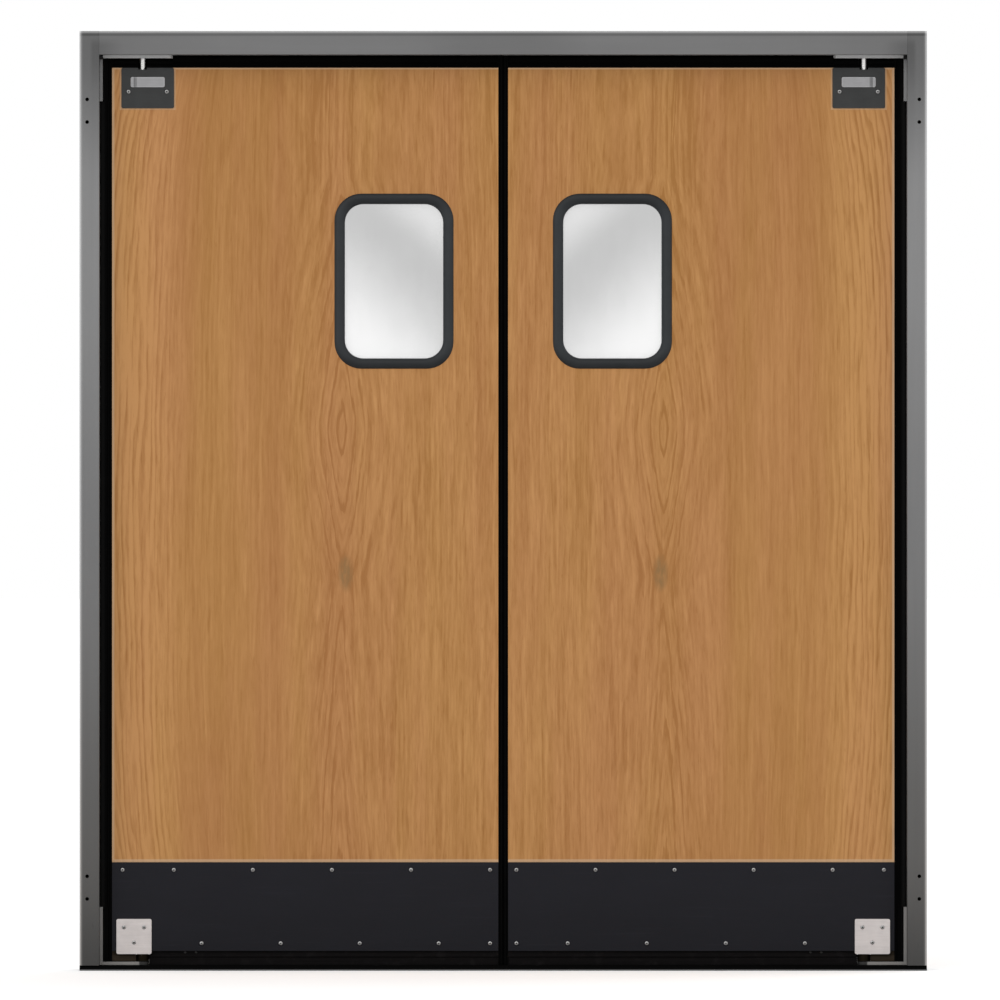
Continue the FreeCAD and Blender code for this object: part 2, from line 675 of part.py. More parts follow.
pan_screw = pan_screw_master()
kick_holes = pan_holes("kick_hole", kick_screw_places)
upper_holes = pan_holes("upper_hole", upper_screw_places)
lower_holes = pan_holes("lower_hole", lower_screw_places)
cutout_corner = window_corner + cutout_margin
window_cutout = window_prism("window_cutout", cutout_margin, cutout_corner, moulding_half * 2)
upper_notch_half = upper_block_width / 2 + notch_clearance
upper_notch = box(
    "upper_notch",
    (upper_plate_x - upper_notch_half, upper_plate_x + upper_notch_half),
    (-lower_plate_half, lower_plate_half),
    (upper_block_bottom - notch_clearance, leaf_top + pin_recess_depth),
)
lower_notch_half = lower_block_width / 2 + notch_clearance
lower_notch = box(
    "lower_notch",
    (pivot_line - lower_notch_half, pivot_line + lower_notch_half),
    (-lower_plate_half, lower_plate_half),
    (lower_plate_bottom, lower_block_top + notch_clearance),
)
leaf_tools = [window_cutout, upper_notch, lower_notch] + kick_holes + upper_holes + lower_holes


def leaf_layer(name, low, high):
    """One full-size layer of the leaf with its window, hinge notches and screw holes."""
    sheet_box = box(name + "_sheet", (hinge_edge, meeting_edge), (low, high), (leaf_bottom, leaf_top))
    return cut(name, sheet_box, leaf_tools)


def kick_plate(name, low, high):
    plate = box(name + "_sheet", (hinge_edge, meeting_edge), (low, high), (leaf_bottom, kick_top))
    return cut(name, plate, [lower_notch] + kick_holes + lower_holes)


def window_pane():
    corner = window_corner + pane_bite
    return window_prism("left_window_pane", pane_bite, corner, pane_thickness)


def window_moulding(pane):
    """A rubber frame grooved outside for the leaf and inside for the pane."""
    body = window_prism("left_moulding_blank", moulding_width, moulding_corner, moulding_half * 2)
    doc.recompute()
    blank = body.Tip
    faces = [
        f"Edge{number}"
        for number, edge in enumerate(blank.Shape.Edges, 1)
        if abs(abs(edge.CenterOfMass.y) - moulding_half.value) < 0.001
    ]
    rounding = body.newObject("PartDesign::Fillet", "left_moulding_round")
    rounding.Base = (blank, faces)
    bind(rounding, "Radius", moulding_round)
    clear = window_prism("window_clear", as_size(0), window_corner, moulding_half * 2)
    reach = moulding_width * 2
    panel = box(
        "window_panel",
        (window_x - window_width / 2 - reach, window_x + window_width / 2 + reach),
        (-leaf_half, leaf_half),
        (window_z - window_height / 2 - reach, window_z + window_height / 2 + reach),
    )
    panel_groove = cut("window_panel_groove", panel, [window_cutout])
    opening = fuse("window_opening", [clear, pane])
    return cut("left_window_moulding", body, [panel_groove, opening])


def upper_plate(name, side, slot):
    """A hinge plate on one face of the leaf, slotted for the bearing block and notched round the pin."""
    middle = leaf_top - upper_plate_height / 2
    width, height = upper_plate_width, upper_plate_height
    blank = rounded_prism(name + "_blank", width, height, plate_corner, plate_gauge, upper_plate_x, middle)
    bind(blank, "Placement.Base.y", (leaf_half + plate_gauge / 2) * side)
    return cut(name, blank, [slot, pin_recess] + upper_holes)


def upper_slot(name, clearance, thickness):
    width = slot_width - clearance * 2
    height = slot_height - clearance * 2
    return rounded_prism(name, width, height, plate_corner, thickness, upper_plate_x, leaf_top - slot_drop)


pin_recess = box(
    "pin_recess",
    (pivot_line - pin_recess_width / 2, pivot_line + pin_recess_width / 2),
    (-lower_plate_half, lower_plate_half),
    (leaf_top - pin_recess_depth, leaf_top + pin_recess_depth),
)


def upper_bearing_block():
    """A block in the leaf's top notch, with bosses that fill the slots of both plates."""
    half = upper_block_width / 2
    block = box(
        "upper_block_body",
        (upper_plate_x - half, upper_plate_x + half),
        (-leaf_half, leaf_half),
        (upper_block_bottom, leaf_top),
    )
    bosses = []
    for side in (-1, 1):
        boss = upper_slot(f"upper_boss_{side + 1}", boss_clearance, plate_gauge)
        bind(boss, "Placement.Base.y", (leaf_half + plate_gauge / 2) * side)
        bosses.append(boss)
    block = fuse("upper_block_blank", [block] + bosses)
    groove_start = upper_plate_x - slot_width / 2 + boss_groove_inset
    grooves = [
        box(
            f"boss_groove_{number}",
            (groove_start, groove_start + boss_groove),
            (low, low + boss_groove),
            (leaf_top - slot_drop - slot_height, leaf_top - slot_drop + slot_height),
        )
        for number, low in enumerate((-upper_plate_half, upper_plate_half - boss_groove))
    ]
    start = (pivot_line, 0, upper_bush_bottom)
    bore = cylinder("upper_bush_bore", bush_radius, upper_bush_length, start, "+Z")
    opening = fuse("upper_block_opening", [bore, pin_recess])
    return cut("left_upper_bearing_block", block, grooves + [opening])


def bush(name, length, z):
    outline = [(bore_radius, 0), (bush_radius, 0), (bush_radius, length), (bore_radius, length)]
    return put(turned(name, outline), pivot_line, 0, z)


def lower_plate(name, side):
    height = lower_plate_top - lower_plate_bottom
    middle = (lower_plate_top + lower_plate_bottom) / 2
    width = lower_plate_width
    blank = rounded_prism(name + "_blank", width, height, plate_corner, plate_gauge, lower_plate_x, middle)
    bind(blank, "Placement.Base.y", (kick_half + plate_gauge / 2) * side)
    return cut(name, blank, lower_holes)


def lower_bearing_block():
    half = lower_block_width / 2
    block = box(
        "lower_block_body",
        (pivot_line - half, pivot_line + half),
        (-kick_half, kick_half),
        (lower_plate_bottom, lower_block_top),
    )
    start = (pivot_line, 0, lower_plate_bottom)
    bore = cylinder("lower_bush_bore", bush_radius, lower_bush_length, start, "+Z")
    return cut("left_lower_bearing_block", block, [bore])


# Gaskets

def upright_gasket(name, reach, low, high, x, direction):
    """A gasket on a vertical edge of the leaf, between two levels."""
    body = pad(name, "XY_Plane", tongue, [reach, gasket_thickness], high - low, False)
    if direction < 0:
        body.Placement = Placement(Vector(), Rotation(Vector(0, 0, 1), 180))
    return put(body, x, 0, low)


def level_gasket(name, reach, thickness, across, y, z, direction):
    """A gasket on the top or bottom edge of the leaf, standing up or hanging down."""
    body = pad(name, "XY_Plane", tongue, [reach, thickness], across[1] - across[0], False)
    # The tongue points up or down, and the pad's length runs along +X.
    outward = Vector(0, 0, direction)
    sideways = Vector(0, -direction, 0)
    body.Placement = Placement(Vector(), Rotation(outward, sideways, Vector(1, 0, 0), "ZXY"))
    return put(body, across[0], y, z)


def hinge_gasket():
    """Full reach to the jamb between the brackets, and short of the bracket legs beside them."""
    low = floor_strap_top + bracket_clearance
    high = header_strap_bottom - bracket_clearance
    short_reach = hinge_gap - bracket_gauge - seal_clearance
    short = upright_gasket("hinge_gasket_short", short_reach, low, high, hinge_edge, -1)
    low = threshold_height + floor_rise + bracket_clearance
    high = opening_height - header_drop - bracket_clearance
    long = upright_gasket("hinge_gasket_long", hinge_gap - seal_clearance, low, high, hinge_edge, -1)
    return fuse("left_hinge_gasket", [short, long])


def meeting_gasket():
    low = threshold_height + floor_clearance
    high = opening_height - seal_clearance
    reach = meeting_gap / 2 - meeting_clearance
    return upright_gasket("left_meeting_gasket", reach, low, high, meeting_edge, 1)


def top_gasket():
    """Full height beyond the bracket, lower beneath it, and hollowed where it passes behind the pin."""
    y = leaf_half - top_gasket_thickness / 2
    past_bracket = pivot_line + header_overrun + pin_clearance
    short_reach = top_gap - bracket_gauge - bracket_clearance
    long_reach = top_gap - seal_clearance
    whole = (hinge_edge, meeting_edge)
    beyond = (past_bracket, meeting_edge)
    short = level_gasket("top_gasket_short", short_reach, top_gasket_thickness, whole, y, leaf_top, 1)
    long = level_gasket("top_gasket_long", long_reach, top_gasket_thickness, beyond, y, leaf_top, 1)
    blank = fuse("top_gasket_blank", [short, long])
    start = (pivot_line, 0, leaf_top)
    hollow = cylinder("top_gasket_hollow", pin_radius + pin_clearance, top_gap, start, "+Z")
    return cut("left_top_gasket", blank, [hollow])


def heel_gasket():
    """Fills the space under the leaf between the hinge edge and the thrust collar."""
    end = pivot_line - collar_diameter / 2 - pin_clearance
    reach = leaf_bottom - floor_strap_top - bracket_clearance
    return level_gasket("left_heel_gasket", reach, gasket_thickness, (hinge_edge, end), 0, leaf_bottom, -1)


def bottom_sweep():
    """Hangs to the threshold, and swings clear of the thrust collar and the lower bracket's round end."""
    start = pivot_line + collar_diameter / 2 + pin_clearance
    reach = leaf_bottom - threshold_height - floor_clearance
    across = (start, meeting_edge)
    return level_gasket("left_bottom_sweep", reach, gasket_thickness, across, 0, leaf_bottom, -1)


# Assembly

def both_hands(name, piece):
    """Name a left-hand piece and its right-hand mirror image."""
    node("left_" + name, piece)
    node("right_" + name, mirrored("right_" + name, piece))


both_hands("jamb", left_jamb())
node("header", header())
node("threshold", threshold())
node("frame_clips", frame_clips())
both_hands("header_bracket", header_bracket())
both_hands("lower_bracket", lower_bracket())
upper_pin_length = opening_height - upper_bush_bottom - pin_end_gap
lower_pin_length = lower_bush_top - pin_end_gap - threshold_height
both_hands("upper_pivot_pin", pivot_pin("left_upper_pivot_pin", upper_pin_length, "-Z", opening_height))
both_hands("lower_pivot_pin", pivot_pin("left_lower_pivot_pin", lower_pin_length, "+Z", threshold_height))
both_hands("thrust_collar", thrust_collar())
node("bracket_screws", bracket_screws())

both_hands("core", leaf_layer("left_core", -core_half, core_half))
both_hands("front_laminate", leaf_layer("left_front_laminate", -leaf_half, -core_half))
both_hands("rear_laminate", leaf_layer("left_rear_laminate", core_half, leaf_half))
both_hands("front_kick_plate", kick_plate("left_front_kick_plate", -kick_half, -leaf_half))
both_hands("rear_kick_plate", kick_plate("left_rear_kick_plate", leaf_half, kick_half))
kick_screws = pan_screw_copies("kick_screw", kick_screw_places, kick_half, pan_screw)
both_hands("kick_plate_screws", compound("left_kick_plate_screws", kick_screws))
left_pane = window_pane()
both_hands("window_moulding", window_moulding(left_pane))
both_hands("window_pane", left_pane)
plate_slot = upper_slot("upper_plate_slot", as_size(0), upper_plate_half * 2)
both_hands("upper_hinge_plate_front", upper_plate("left_upper_hinge_plate_front", -1, plate_slot))
both_hands("upper_hinge_plate_rear", upper_plate("left_upper_hinge_plate_rear", 1, plate_slot))
both_hands("upper_bearing_block", upper_bearing_block())
both_hands("upper_bush", bush("left_upper_bush", upper_bush_length, upper_bush_bottom))
both_hands("lower_hinge_plate_front", lower_plate("left_lower_hinge_plate_front", -1))
both_hands("lower_hinge_plate_rear", lower_plate("left_lower_hinge_plate_rear", 1))
both_hands("lower_bearing_block", lower_bearing_block())
both_hands("lower_bush", bush("left_lower_bush", lower_bush_length, lower_plate_bottom))
hinge_screws = pan_screw_copies("upper_screw", upper_screw_places, upper_plate_half, pan_screw)
hinge_screws += pan_screw_copies("lower_screw", lower_screw_places, lower_plate_half, pan_screw)
both_hands("hinge_plate_screws", compound("left_hinge_plate_screws", hinge_screws))
both_hands("hinge_gasket", hinge_gasket())
both_hands("meeting_gasket", meeting_gasket())
both_hands("top_gasket", top_gasket())
both_hands("heel_gasket", heel_gasket())
both_hands("bottom_sweep", bottom_sweep())

doc.recompute()

failed = [thing.Name for thing in doc.Objects if {"Invalid", "Error"} & set(thing.State)]
if failed:
    raise RuntimeError(f"failed objects: {failed}")
for piece in nodes:
    if piece.Shape.isNull() or not piece.Shape.isValid() or not piece.Shape.Solids:
        raise RuntimeError(f"bad shape: {piece.Label}")

os.makedirs("parts", exist_ok=True)
for piece in nodes:
    piece.Shape.exportStep(f"parts/{piece.Label}.step")
print(len(nodes), "nodes written")
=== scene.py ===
# A double swing door: its detailed pieces and finishes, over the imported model
import json
import math

import bmesh
import bpy
from mathutils import Matrix, Vector


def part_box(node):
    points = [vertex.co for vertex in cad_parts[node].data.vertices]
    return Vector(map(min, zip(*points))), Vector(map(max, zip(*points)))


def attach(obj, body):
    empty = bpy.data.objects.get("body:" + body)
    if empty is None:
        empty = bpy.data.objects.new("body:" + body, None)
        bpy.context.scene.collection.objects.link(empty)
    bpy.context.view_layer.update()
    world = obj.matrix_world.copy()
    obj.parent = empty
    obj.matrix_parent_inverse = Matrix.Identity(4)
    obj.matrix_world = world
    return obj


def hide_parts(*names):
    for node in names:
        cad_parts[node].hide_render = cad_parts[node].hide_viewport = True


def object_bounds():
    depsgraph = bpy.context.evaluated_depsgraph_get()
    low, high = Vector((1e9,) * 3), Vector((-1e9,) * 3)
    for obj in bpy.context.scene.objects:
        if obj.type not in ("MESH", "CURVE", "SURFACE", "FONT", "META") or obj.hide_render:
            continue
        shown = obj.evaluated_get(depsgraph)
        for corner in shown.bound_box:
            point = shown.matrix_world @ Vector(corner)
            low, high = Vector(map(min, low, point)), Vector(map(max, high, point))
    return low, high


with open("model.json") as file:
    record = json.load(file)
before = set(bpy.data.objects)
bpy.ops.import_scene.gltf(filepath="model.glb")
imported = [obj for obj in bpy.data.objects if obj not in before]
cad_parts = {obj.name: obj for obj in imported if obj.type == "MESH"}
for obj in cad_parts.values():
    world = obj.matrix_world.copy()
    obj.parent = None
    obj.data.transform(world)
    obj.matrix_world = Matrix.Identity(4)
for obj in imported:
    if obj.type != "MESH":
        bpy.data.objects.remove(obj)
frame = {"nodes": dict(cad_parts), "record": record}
cad_low, cad_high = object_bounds()

# Sizes that the boxes of the nodes don't give, in metres
SHEET_GAUGE = 0.002
WALL_LIP = 0.014
FOLD_RADIUS = 0.003
WELD_RADIUS = 0.0008
BRACKET_GAUGE = 0.007
RELIEF_NOTCH = 0.008
RELIEF_HEIGHT = 0.01
LEAF_HALF = 0.0107
WINDOW_WIDTH = 0.226
WINDOW_HEIGHT = 0.355
WINDOW_CORNER = 0.0425
MOULDING_CORNER = 0.062
SWEEP_RETAINER = 0.014
SLEEVE_WALL = 0.0015
SEAL_HEIGHT = 0.0015
PLUG_LENGTH = 0.003
PLUG_SETBACK = 0.0035
RIVET_PLACES = (0.732, 0.707)
RIVET_RADIUS = 0.0031
RIVET_CROWN = 0.45
RIVET_DROP = 0.0036
SLOT_DROP = 0.033
PIN_ROOM = 0.008
PIN_RECESS_HALF = 0.01
PIN_RECESS_DEPTH = 0.004
SLIDE = 0.0001

# Radii of the rounded edges
HEADER_BRACKET_EDGE = 0.0008
LOWER_BRACKET_EDGE = 0.0009
KICK_PLATE_EDGE = 0.0007
UPPER_PLATE_EDGE = 0.0008
LOWER_PLATE_EDGE = 0.0011
BOSS_EDGE = 0.0008
RETAINER_EDGE = 0.0012
PLUG_EDGE = 0.0006

# Places in the oak figure, from the middle of the door and from the floor
OAK_HEART = 0.371
OAK_ARCH_LEVEL = 1.245
OAK_ARCH_FOOT = 0.126
OAK_KNOT = 0.362
OAK_KNOT_LEVEL = 0.913

# Places that the boxes of the nodes give, on the left half of the door
frame_side, frame_half, frame_top = cad_high
jamb_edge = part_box("left_jamb")[1].x
header_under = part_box("header")[0].z
threshold_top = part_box("threshold")[1].z
leaf_low, leaf_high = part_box("left_core")
kick_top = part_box("left_front_kick_plate")[1].z
upper_plate_low, upper_plate_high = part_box("left_upper_hinge_plate_front")
upper_plate_x = (upper_plate_low.x + upper_plate_high.x) / 2
pane_low, pane_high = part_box("left_window_pane")
window_centre = (pane_low + pane_high) / 2
pin_x = (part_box("left_upper_pivot_pin")[0].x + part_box("left_upper_pivot_pin")[1].x) / 2
nose_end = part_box("left_header_bracket")[1].x
leg_low_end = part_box("left_lower_bracket")[1].z
leg_high_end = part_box("left_header_bracket")[0].z
collar_low, collar_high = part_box("left_thrust_collar")
gasket_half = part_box("left_hinge_gasket")[1].y
strap_under = header_under - BRACKET_GAUGE
foot_strap_top = threshold_top + BRACKET_GAUGE


# Finishes

class Socket:
    """An output of a node. Arithmetic on it adds Math nodes to its tree."""

    def __init__(self, nodes, output):
        self.nodes = nodes
        self.output = output

    def math(self, operation, *values):
        return self.nodes.node("Math", {"operation": operation}, dict(enumerate((self, *values))))

    def rise(self, low, high):
        """0 before low and 1 after high, smooth between, or falling where low is the larger."""
        ends = {"Value": self, "From Min": low, "From Max": high}
        return self.nodes.node("MapRange", {"interpolation_type": "SMOOTHSTEP"}, ends)

    def size(self):
        return self.math("ABSOLUTE")

    def __add__(self, other):
        return self.math("ADD", other)

    def __radd__(self, other):
        return self.math("ADD", other)

    def __sub__(self, other):
        return self.math("SUBTRACT", other)

    def __rsub__(self, other):
        return self.math("MULTIPLY_ADD", -1.0, other)

    def __mul__(self, other):
        return self.math("MULTIPLY", other)

    def __rmul__(self, other):
        return self.math("MULTIPLY", other)

    def __truediv__(self, other):
        return self.math("DIVIDE", other)

    def __pow__(self, other):
        return self.math("POWER", other)


class Nodes:
    """A node tree in the making."""

    def __init__(self, tree):
        self.tree = tree

    def node(self, kind, settings=None, inputs=None, output=0):
        """Add a node: its settings first, then the values or links of its sockets."""
        node = self.tree.nodes.new("ShaderNode" + kind)
        for name, value in (settings or {}).items():
            setattr(node, name, value)
        for name, value in (inputs or {}).items():
            if isinstance(value, Socket):
                self.tree.links.new(value.output, node.inputs[name])
            else:
                node.inputs[name].default_value = value
        return Socket(self, node.outputs[output])

    def mix(self, share, first, second):
        return self.node("Mix", {"data_type": "RGBA"}, {0: share, 6: first, 7: second}, 2)


class Finish(Nodes):
    """A material in the making, with the place on the door in metres as x, y and z."""

    def __init__(self, name, constants):
        self.material = bpy.data.materials.new(name)
        self.material.use_nodes = True
        super().__init__(self.material.node_tree)
        self.shader = self.tree.nodes["Principled BSDF"]
        for socket, value in constants.items():
            self.shader.inputs[socket].default_value = value
        self.place = self.node("TexCoord", output="Object")
        self.x = self.node("SeparateXYZ", {}, {"Vector": self.place}, "X")
        self.y = self.node("SeparateXYZ", {}, {"Vector": self.place}, "Y")
        self.z = self.node("SeparateXYZ", {}, {"Vector": self.place}, "Z")

    def noise(self, scale, detail=2.0, roughness=0.5, place=None):
        """Soft noise about 0.5, with its cycles in a metre along x, y and z."""
        stretched = self.node("Mapping", {}, {"Vector": place or self.place, "Scale": scale})
        values = {"Vector": stretched, "Scale": 1.0, "Detail": detail, "Roughness": roughness}
        return self.node("TexNoise", {}, values)

    def shade(self, colour, level):
        return self.node("VectorMath", {"operation": "SCALE"}, {0: colour, "Scale": level})

    def bump(self, height, depth):
        return self.node("Bump", {}, {"Distance": depth, "Height": height}, "Normal")

    def done(self, **feeds):
        """Link what varies over the surface, and hand over the material."""
        for name, socket in feeds.items():
            self.tree.links.new(socket.output, self.shader.inputs[name.replace("_", " ")])
        return self.material


def rgb(red, green, blue):
    return (red, green, blue, 1.0)


def frame_enamel(name, tone, streaks):
    """Satin grey paint on rolled steel. Tone gives its grey level from the place on the frame."""
    paint = Finish(name, {"Specular IOR Level": 0.3})
    inward = frame_side - paint.x.size()
    below = frame_top - paint.z
    runs = paint.noise(streaks, 3.0)
    peel = paint.noise((620.0, 620.0, 620.0), 1.0)
    blotch = paint.noise((9.0, 9.0, 5.0), 3.0)
    level = tone(paint) * (0.86 + runs * 0.14 + blotch * 0.1 + peel * 0.04)
    # Painted shade: corner darkens the paint in the inner corners between the jambs and the header,
    # deepest near the top and fading down the jambs.
    corner_shade_fade = 0.3 * below.rise(0.409, 0.159) + 0.7 * below.rise(0.159, 0.049)
    corner = inward.rise(0.0215, 0.0325) * inward.rise(0.1135, 0.0385) * below.rise(0.01, 0.035) * corner_shade_fade
    # Painted highlights: a light line along the top edge of the frame and along the outer edges of the
    # jambs, with a thin darker line painted just under the top one.
    fold = (frame_half - paint.y.size()).rise(0.004, 0.0025)
    top_edge_highlight = below.rise(0.0055, 0.0025) * fold * 0.16
    dark_line_under_top_highlight = below.rise(0.0125, 0.0095) * below.rise(0.0045, 0.0075) * 0.05
    outer = inward.rise(0.0083, 0.005) * 0.05 + inward.rise(0.0047, 0.0027) * fold * 0.24
    low_scuffs = paint.noise((55.0, 55.0, 14.0), 4.0, 0.7).rise(0.62, 0.72) * paint.z.rise(0.35, 0.05)
    # The painted corner shade darkens the level here, and the painted edge highlights lighten it.
    level = level * (1.0 - corner * 0.3) * (1.0 - low_scuffs * 0.22) + outer + top_edge_highlight - dark_line_under_top_highlight
    warm = paint.z.rise(1.1, 0.1)
    hue = paint.mix(warm, rgb(1.0, 1.0, 1.005), rgb(1.03, 1.0, 0.965))
    gloss = 0.34 + blotch * 0.16 + low_scuffs * 0.2
    return paint.done(Base_Color=paint.shade(hue, level), Roughness=gloss,
                      Normal=paint.bump(peel + runs * 0.6, 0.00006))


def jamb_tone(paint):
    height = paint.z
    lower = 0.034 + height.rise(-0.05, 0.3) * 0.05 + height.rise(0.2, 1.1) * 0.07
    return lower + height.rise(0.95, 1.65) * 0.055 - height.rise(1.78, 2.12) * 0.1


def header_tone(paint):
    across = paint.x.size()
    return 0.135 + across.rise(0.95, 0.6) * 0.017 - across.rise(0.24, 0.06) * 0.02


def bracket_enamel():
    """Grey paint on thick strap, rubbed bright along the floor strap. Painted light makes the straps under
    the header lighter than the rest, and painted shade darkens the floor straps towards the pins and the
    relief notches.
    """
    paint = Finish("bracket_enamel", {"Specular IOR Level": 0.3})
    peel = paint.noise((620.0, 620.0, 620.0), 1.0)
    blotch = paint.noise((24.0, 24.0, 24.0), 3.0)
    rub = paint.noise((160.0, 160.0, 40.0), 4.0, 0.65)
    side = paint.x.size()
    # Painted light: the straps under the header are made lighter than the rest of the brackets.
    header_strap_painted_light = (paint.z - strap_under).rise(-0.0025, 0.0005)
    reach = (side + pin_x).rise(0.006, 0.01)
    foot = (paint.z - foot_strap_top).rise(0.0015, -0.0005)
    trodden = foot * reach * (0.75 + rub * 0.4)
    # Painted shade: the relief notches and the floor straps between the rubbed part and the pins are
    # darkened nearly to black.
    notch = (side + jamb_edge).rise(-0.0082, -0.0076) * (paint.z - strap_under).rise(-0.0035, -0.0027)
    painted_shade_factor = (1.0 - foot * (1.0 - reach) * 0.92) * (1.0 - notch * 0.97)
    level = (0.21 + header_strap_painted_light * 0.26 + (blotch - 0.5) * 0.04 + (rub - 0.5) * 0.03) * painted_shade_factor
    painted = paint.shade(paint.mix(paint.z.rise(1.1, 0.1), rgb(1, 1, 1), rgb(1.03, 1.0, 0.965)), level)
    colour = paint.mix(trodden * 0.8, painted, rgb(0.27, 0.258, 0.245))
    return paint.done(Base_Color=colour, Roughness=0.38 + blotch * 0.14 - trodden * 0.08,
                      Normal=paint.bump(peel + rub * 0.5, 0.00006))


def oak_heart(oak, across, waver):
    """How far a place is to one side of the figure's heart line, which leans at its ends and drifts."""
    lean = ((oak.z - 1.08) / 0.96).size() ** 5.0 * across.rise(0.5, 0.86) * 0.06
    drift = (oak.noise((1.3, 1.0, 0.7), 2.0) - 0.5) * 0.05
    return across + lean + drift + waver - OAK_HEART


def oak_rings(oak, off_heart):
    """The distance from the heart, bent into arches above and below one level."""
    above = oak.z - OAK_ARCH_LEVEL
    arches = (above * above + 0.0006).math("SQRT").math("MINIMUM", 0.58) * 0.16
    arches = arches.math("MINIMUM", (oak.z - OAK_ARCH_FOOT) * 0.07)
    return off_heart + arches * off_heart.rise(0.2, 0.0)


def oak_late_wood(oak, heart, off_heart, ring, grain, jag):
    """Dark broken lines along the rings near the heart, stronger towards the hinges."""
    near = off_heart.rise(0.085, 0.012)
    count = ring * 50.0 + oak.noise((60.0, 2.0, 3.0), 2.0, place=grain) + jag * 0.5 - 0.38
    place_in_ring = count.math("FRACT")
    line = place_in_ring.rise(0.66, 0.88) * place_in_ring.rise(1.0, 0.92)
    breaks = oak.noise((30.0, 1.0, 9.0), 2.0).rise(0.28, 0.5)
    hinge_side = heart.rise(-0.012, 0.006).math("MAXIMUM", oak.z.rise(0.8, 0.95))
    return line * near * breaks * (0.4 + hinge_side * 0.6)


def oak_rows(oak, across, heart, jag):
    """Rows of straight grain, strong along the hinges and in a fan above the window."""
    rows = (heart * 72.0 + oak.noise((30.0, 1.0, 2.4), 2.0) * 2.4 + jag * 0.35).math("FRACT")
    rows = rows.rise(0.3, 0.78) * rows.rise(1.0, 0.85) * oak.noise((26.0, 1.0, 3.0), 2.0).rise(0.26, 0.56)
    fan = heart.rise(0.0, 0.02) * heart.rise(0.105, 0.07) * oak.z.rise(1.68, 1.93)
    return rows * (0.2 + across.rise(0.74, 0.82) * 0.8 + fan * 0.7)


def oak_knot(oak, across, waver):
    """One small mottled knot near the heart line."""
    off_side = (across - OAK_KNOT + waver * 0.6) / 0.014
    off_level = (oak.z - OAK_KNOT_LEVEL) / 0.034
    mottle = oak.noise((150.0, 1.0, 40.0), 3.0).rise(0.3, 0.65)
    return (off_side ** 2.0 + off_level ** 2.0).rise(2.2, 0.0) * (0.4 + mottle * 0.6)


def oak_edge(oak, side):
    """Pale laminate along the hinges, the top, the kick plate and round the upper hinge plate."""
    under_plate = upper_plate_low.z - oak.z
    off_plate = (side + upper_plate_x).size() - (upper_plate_high.x - upper_plate_low.x) / 2
    off_plate = off_plate.math("MAXIMUM", under_plate)
    beside_plate = off_plate.rise(0.0048, 0.0024) * under_plate.rise(0.033, 0.023)
    edge = (side + leaf_low.x).rise(-0.007, -0.003)
    edge = edge.math("MAXIMUM", (oak.z - leaf_high.z).rise(-0.005, -0.0018))
    edge = edge.math("MAXIMUM", (oak.z - kick_top).rise(0.008, 0.0052)) * 0.6
    return edge.math("MAXIMUM", beside_plate * 0.42)


def oak_laminate():
    """Oak-grain laminate. Both leaves mirror each other about the meeting line."""
    oak = Finish("oak_laminate", {"Specular IOR Level": 0.12})
    rear = oak.y.rise(-0.001, 0.001)
    side = oak.x.size()
    across = side + rear * 0.09
    waver = (oak.noise((13.0, 1.0, 4.5), 2.0) - 0.5) * 0.011
    jag = oak.noise((150.0, 1.0, 16.0), 2.0) - 0.5
    heart = oak_heart(oak, across, waver)
    off_heart = (heart * heart + 0.000036).math("SQRT")
    ring = oak_rings(oak, off_heart)
    grain = oak.node("CombineXYZ", {}, {"X": ring, "Y": heart * 2.5 + rear * 3.0, "Z": oak.z})
    late_wood = oak_late_wood(oak, heart, off_heart, ring, grain, jag)
    rows = oak_rows(oak, across, heart, jag)
    knot = oak_knot(oak, across, waver)
    board = oak.noise((8.0, 1.0, 0.6), 3.0, place=grain)
    band = oak.noise((38.0, 2.0, 1.6), 3.0, 0.6, grain)
    streak = oak.noise((115.0, 3.0, 2.6), 2.0, 0.55, grain)
    broken = oak.noise((140.0, 3.0, 9.0), 2.0, 0.6, grain)
    fibre = oak.noise((165.0, 1.0, 21.0), 2.0, 0.65)
    vein = oak.noise((105.0, 2.0, 6.0), 2.0, 0.5, grain).rise(0.6, 0.7)
    pale = oak.noise((95.0, 5.0, 5.0), 2.0, 0.5, grain).rise(0.6, 0.72)
    pores = oak.noise((170.0, 1.0, 26.0), 2.0, 0.6).rise(0.6, 0.7)
    calm = across.rise(0.44, 0.54) * across.rise(0.8, 0.72)
    flecks = (streak - 0.5) * 0.9 + (broken - 0.5) * 1.15 + (fibre - 0.5) * 0.85 - vein * 0.3 - pores * 0.2
    tone = (0.53 + (board - 0.5) * 0.55 + (band - 0.5) * 0.6 + flecks * (1.0 - calm * 0.4) + pale * 0.16
            - late_wood * 0.72 - knot * 0.3 - rows * 0.58 - calm * 0.06
            + across.rise(0.72, 0.84) * 0.5 - oak.z.rise(1.3, 1.9) * 0.1)
    red_share = oak.noise((7.0, 1.0, 0.7), 3.0).rise(0.3, 0.7)
    dark = oak.mix(red_share, rgb(0.332, 0.152, 0.042), rgb(0.338, 0.147, 0.048))
    light = oak.mix(red_share, rgb(0.484, 0.250, 0.089), rgb(0.488, 0.243, 0.096))
    colour = oak.mix(knot * 0.75, oak.mix(tone, dark, light), rgb(0.225, 0.138, 0.058))
    colour = oak.mix(oak_edge(oak, side), colour, rgb(0.56, 0.39, 0.25))
    gloss = 0.46 + streak * 0.12 + pores * 0.12
    relief = fibre * 0.5 + streak * 0.3 - pores
    return oak.done(Base_Color=colour, Roughness=gloss, Normal=oak.bump(relief, 0.00007))


def core_wood():
    """Bonded chipboard core, its edges sealed dark."""
    core = Finish("core_board", {"Specular IOR Level": 0.2})
    chips = core.noise((240.0, 240.0, 160.0), 4.0, 0.7)
    dust = core.noise((900.0, 900.0, 900.0), 2.0)
    colour = core.mix(chips.rise(0.3, 0.7), rgb(0.055, 0.034, 0.02), rgb(0.1, 0.066, 0.038))
    return core.done(Base_Color=core.shade(colour, 0.88 + dust * 0.2), Roughness=0.7 + chips * 0.2,
                     Normal=core.bump(chips + dust * 0.4, 0.0002))


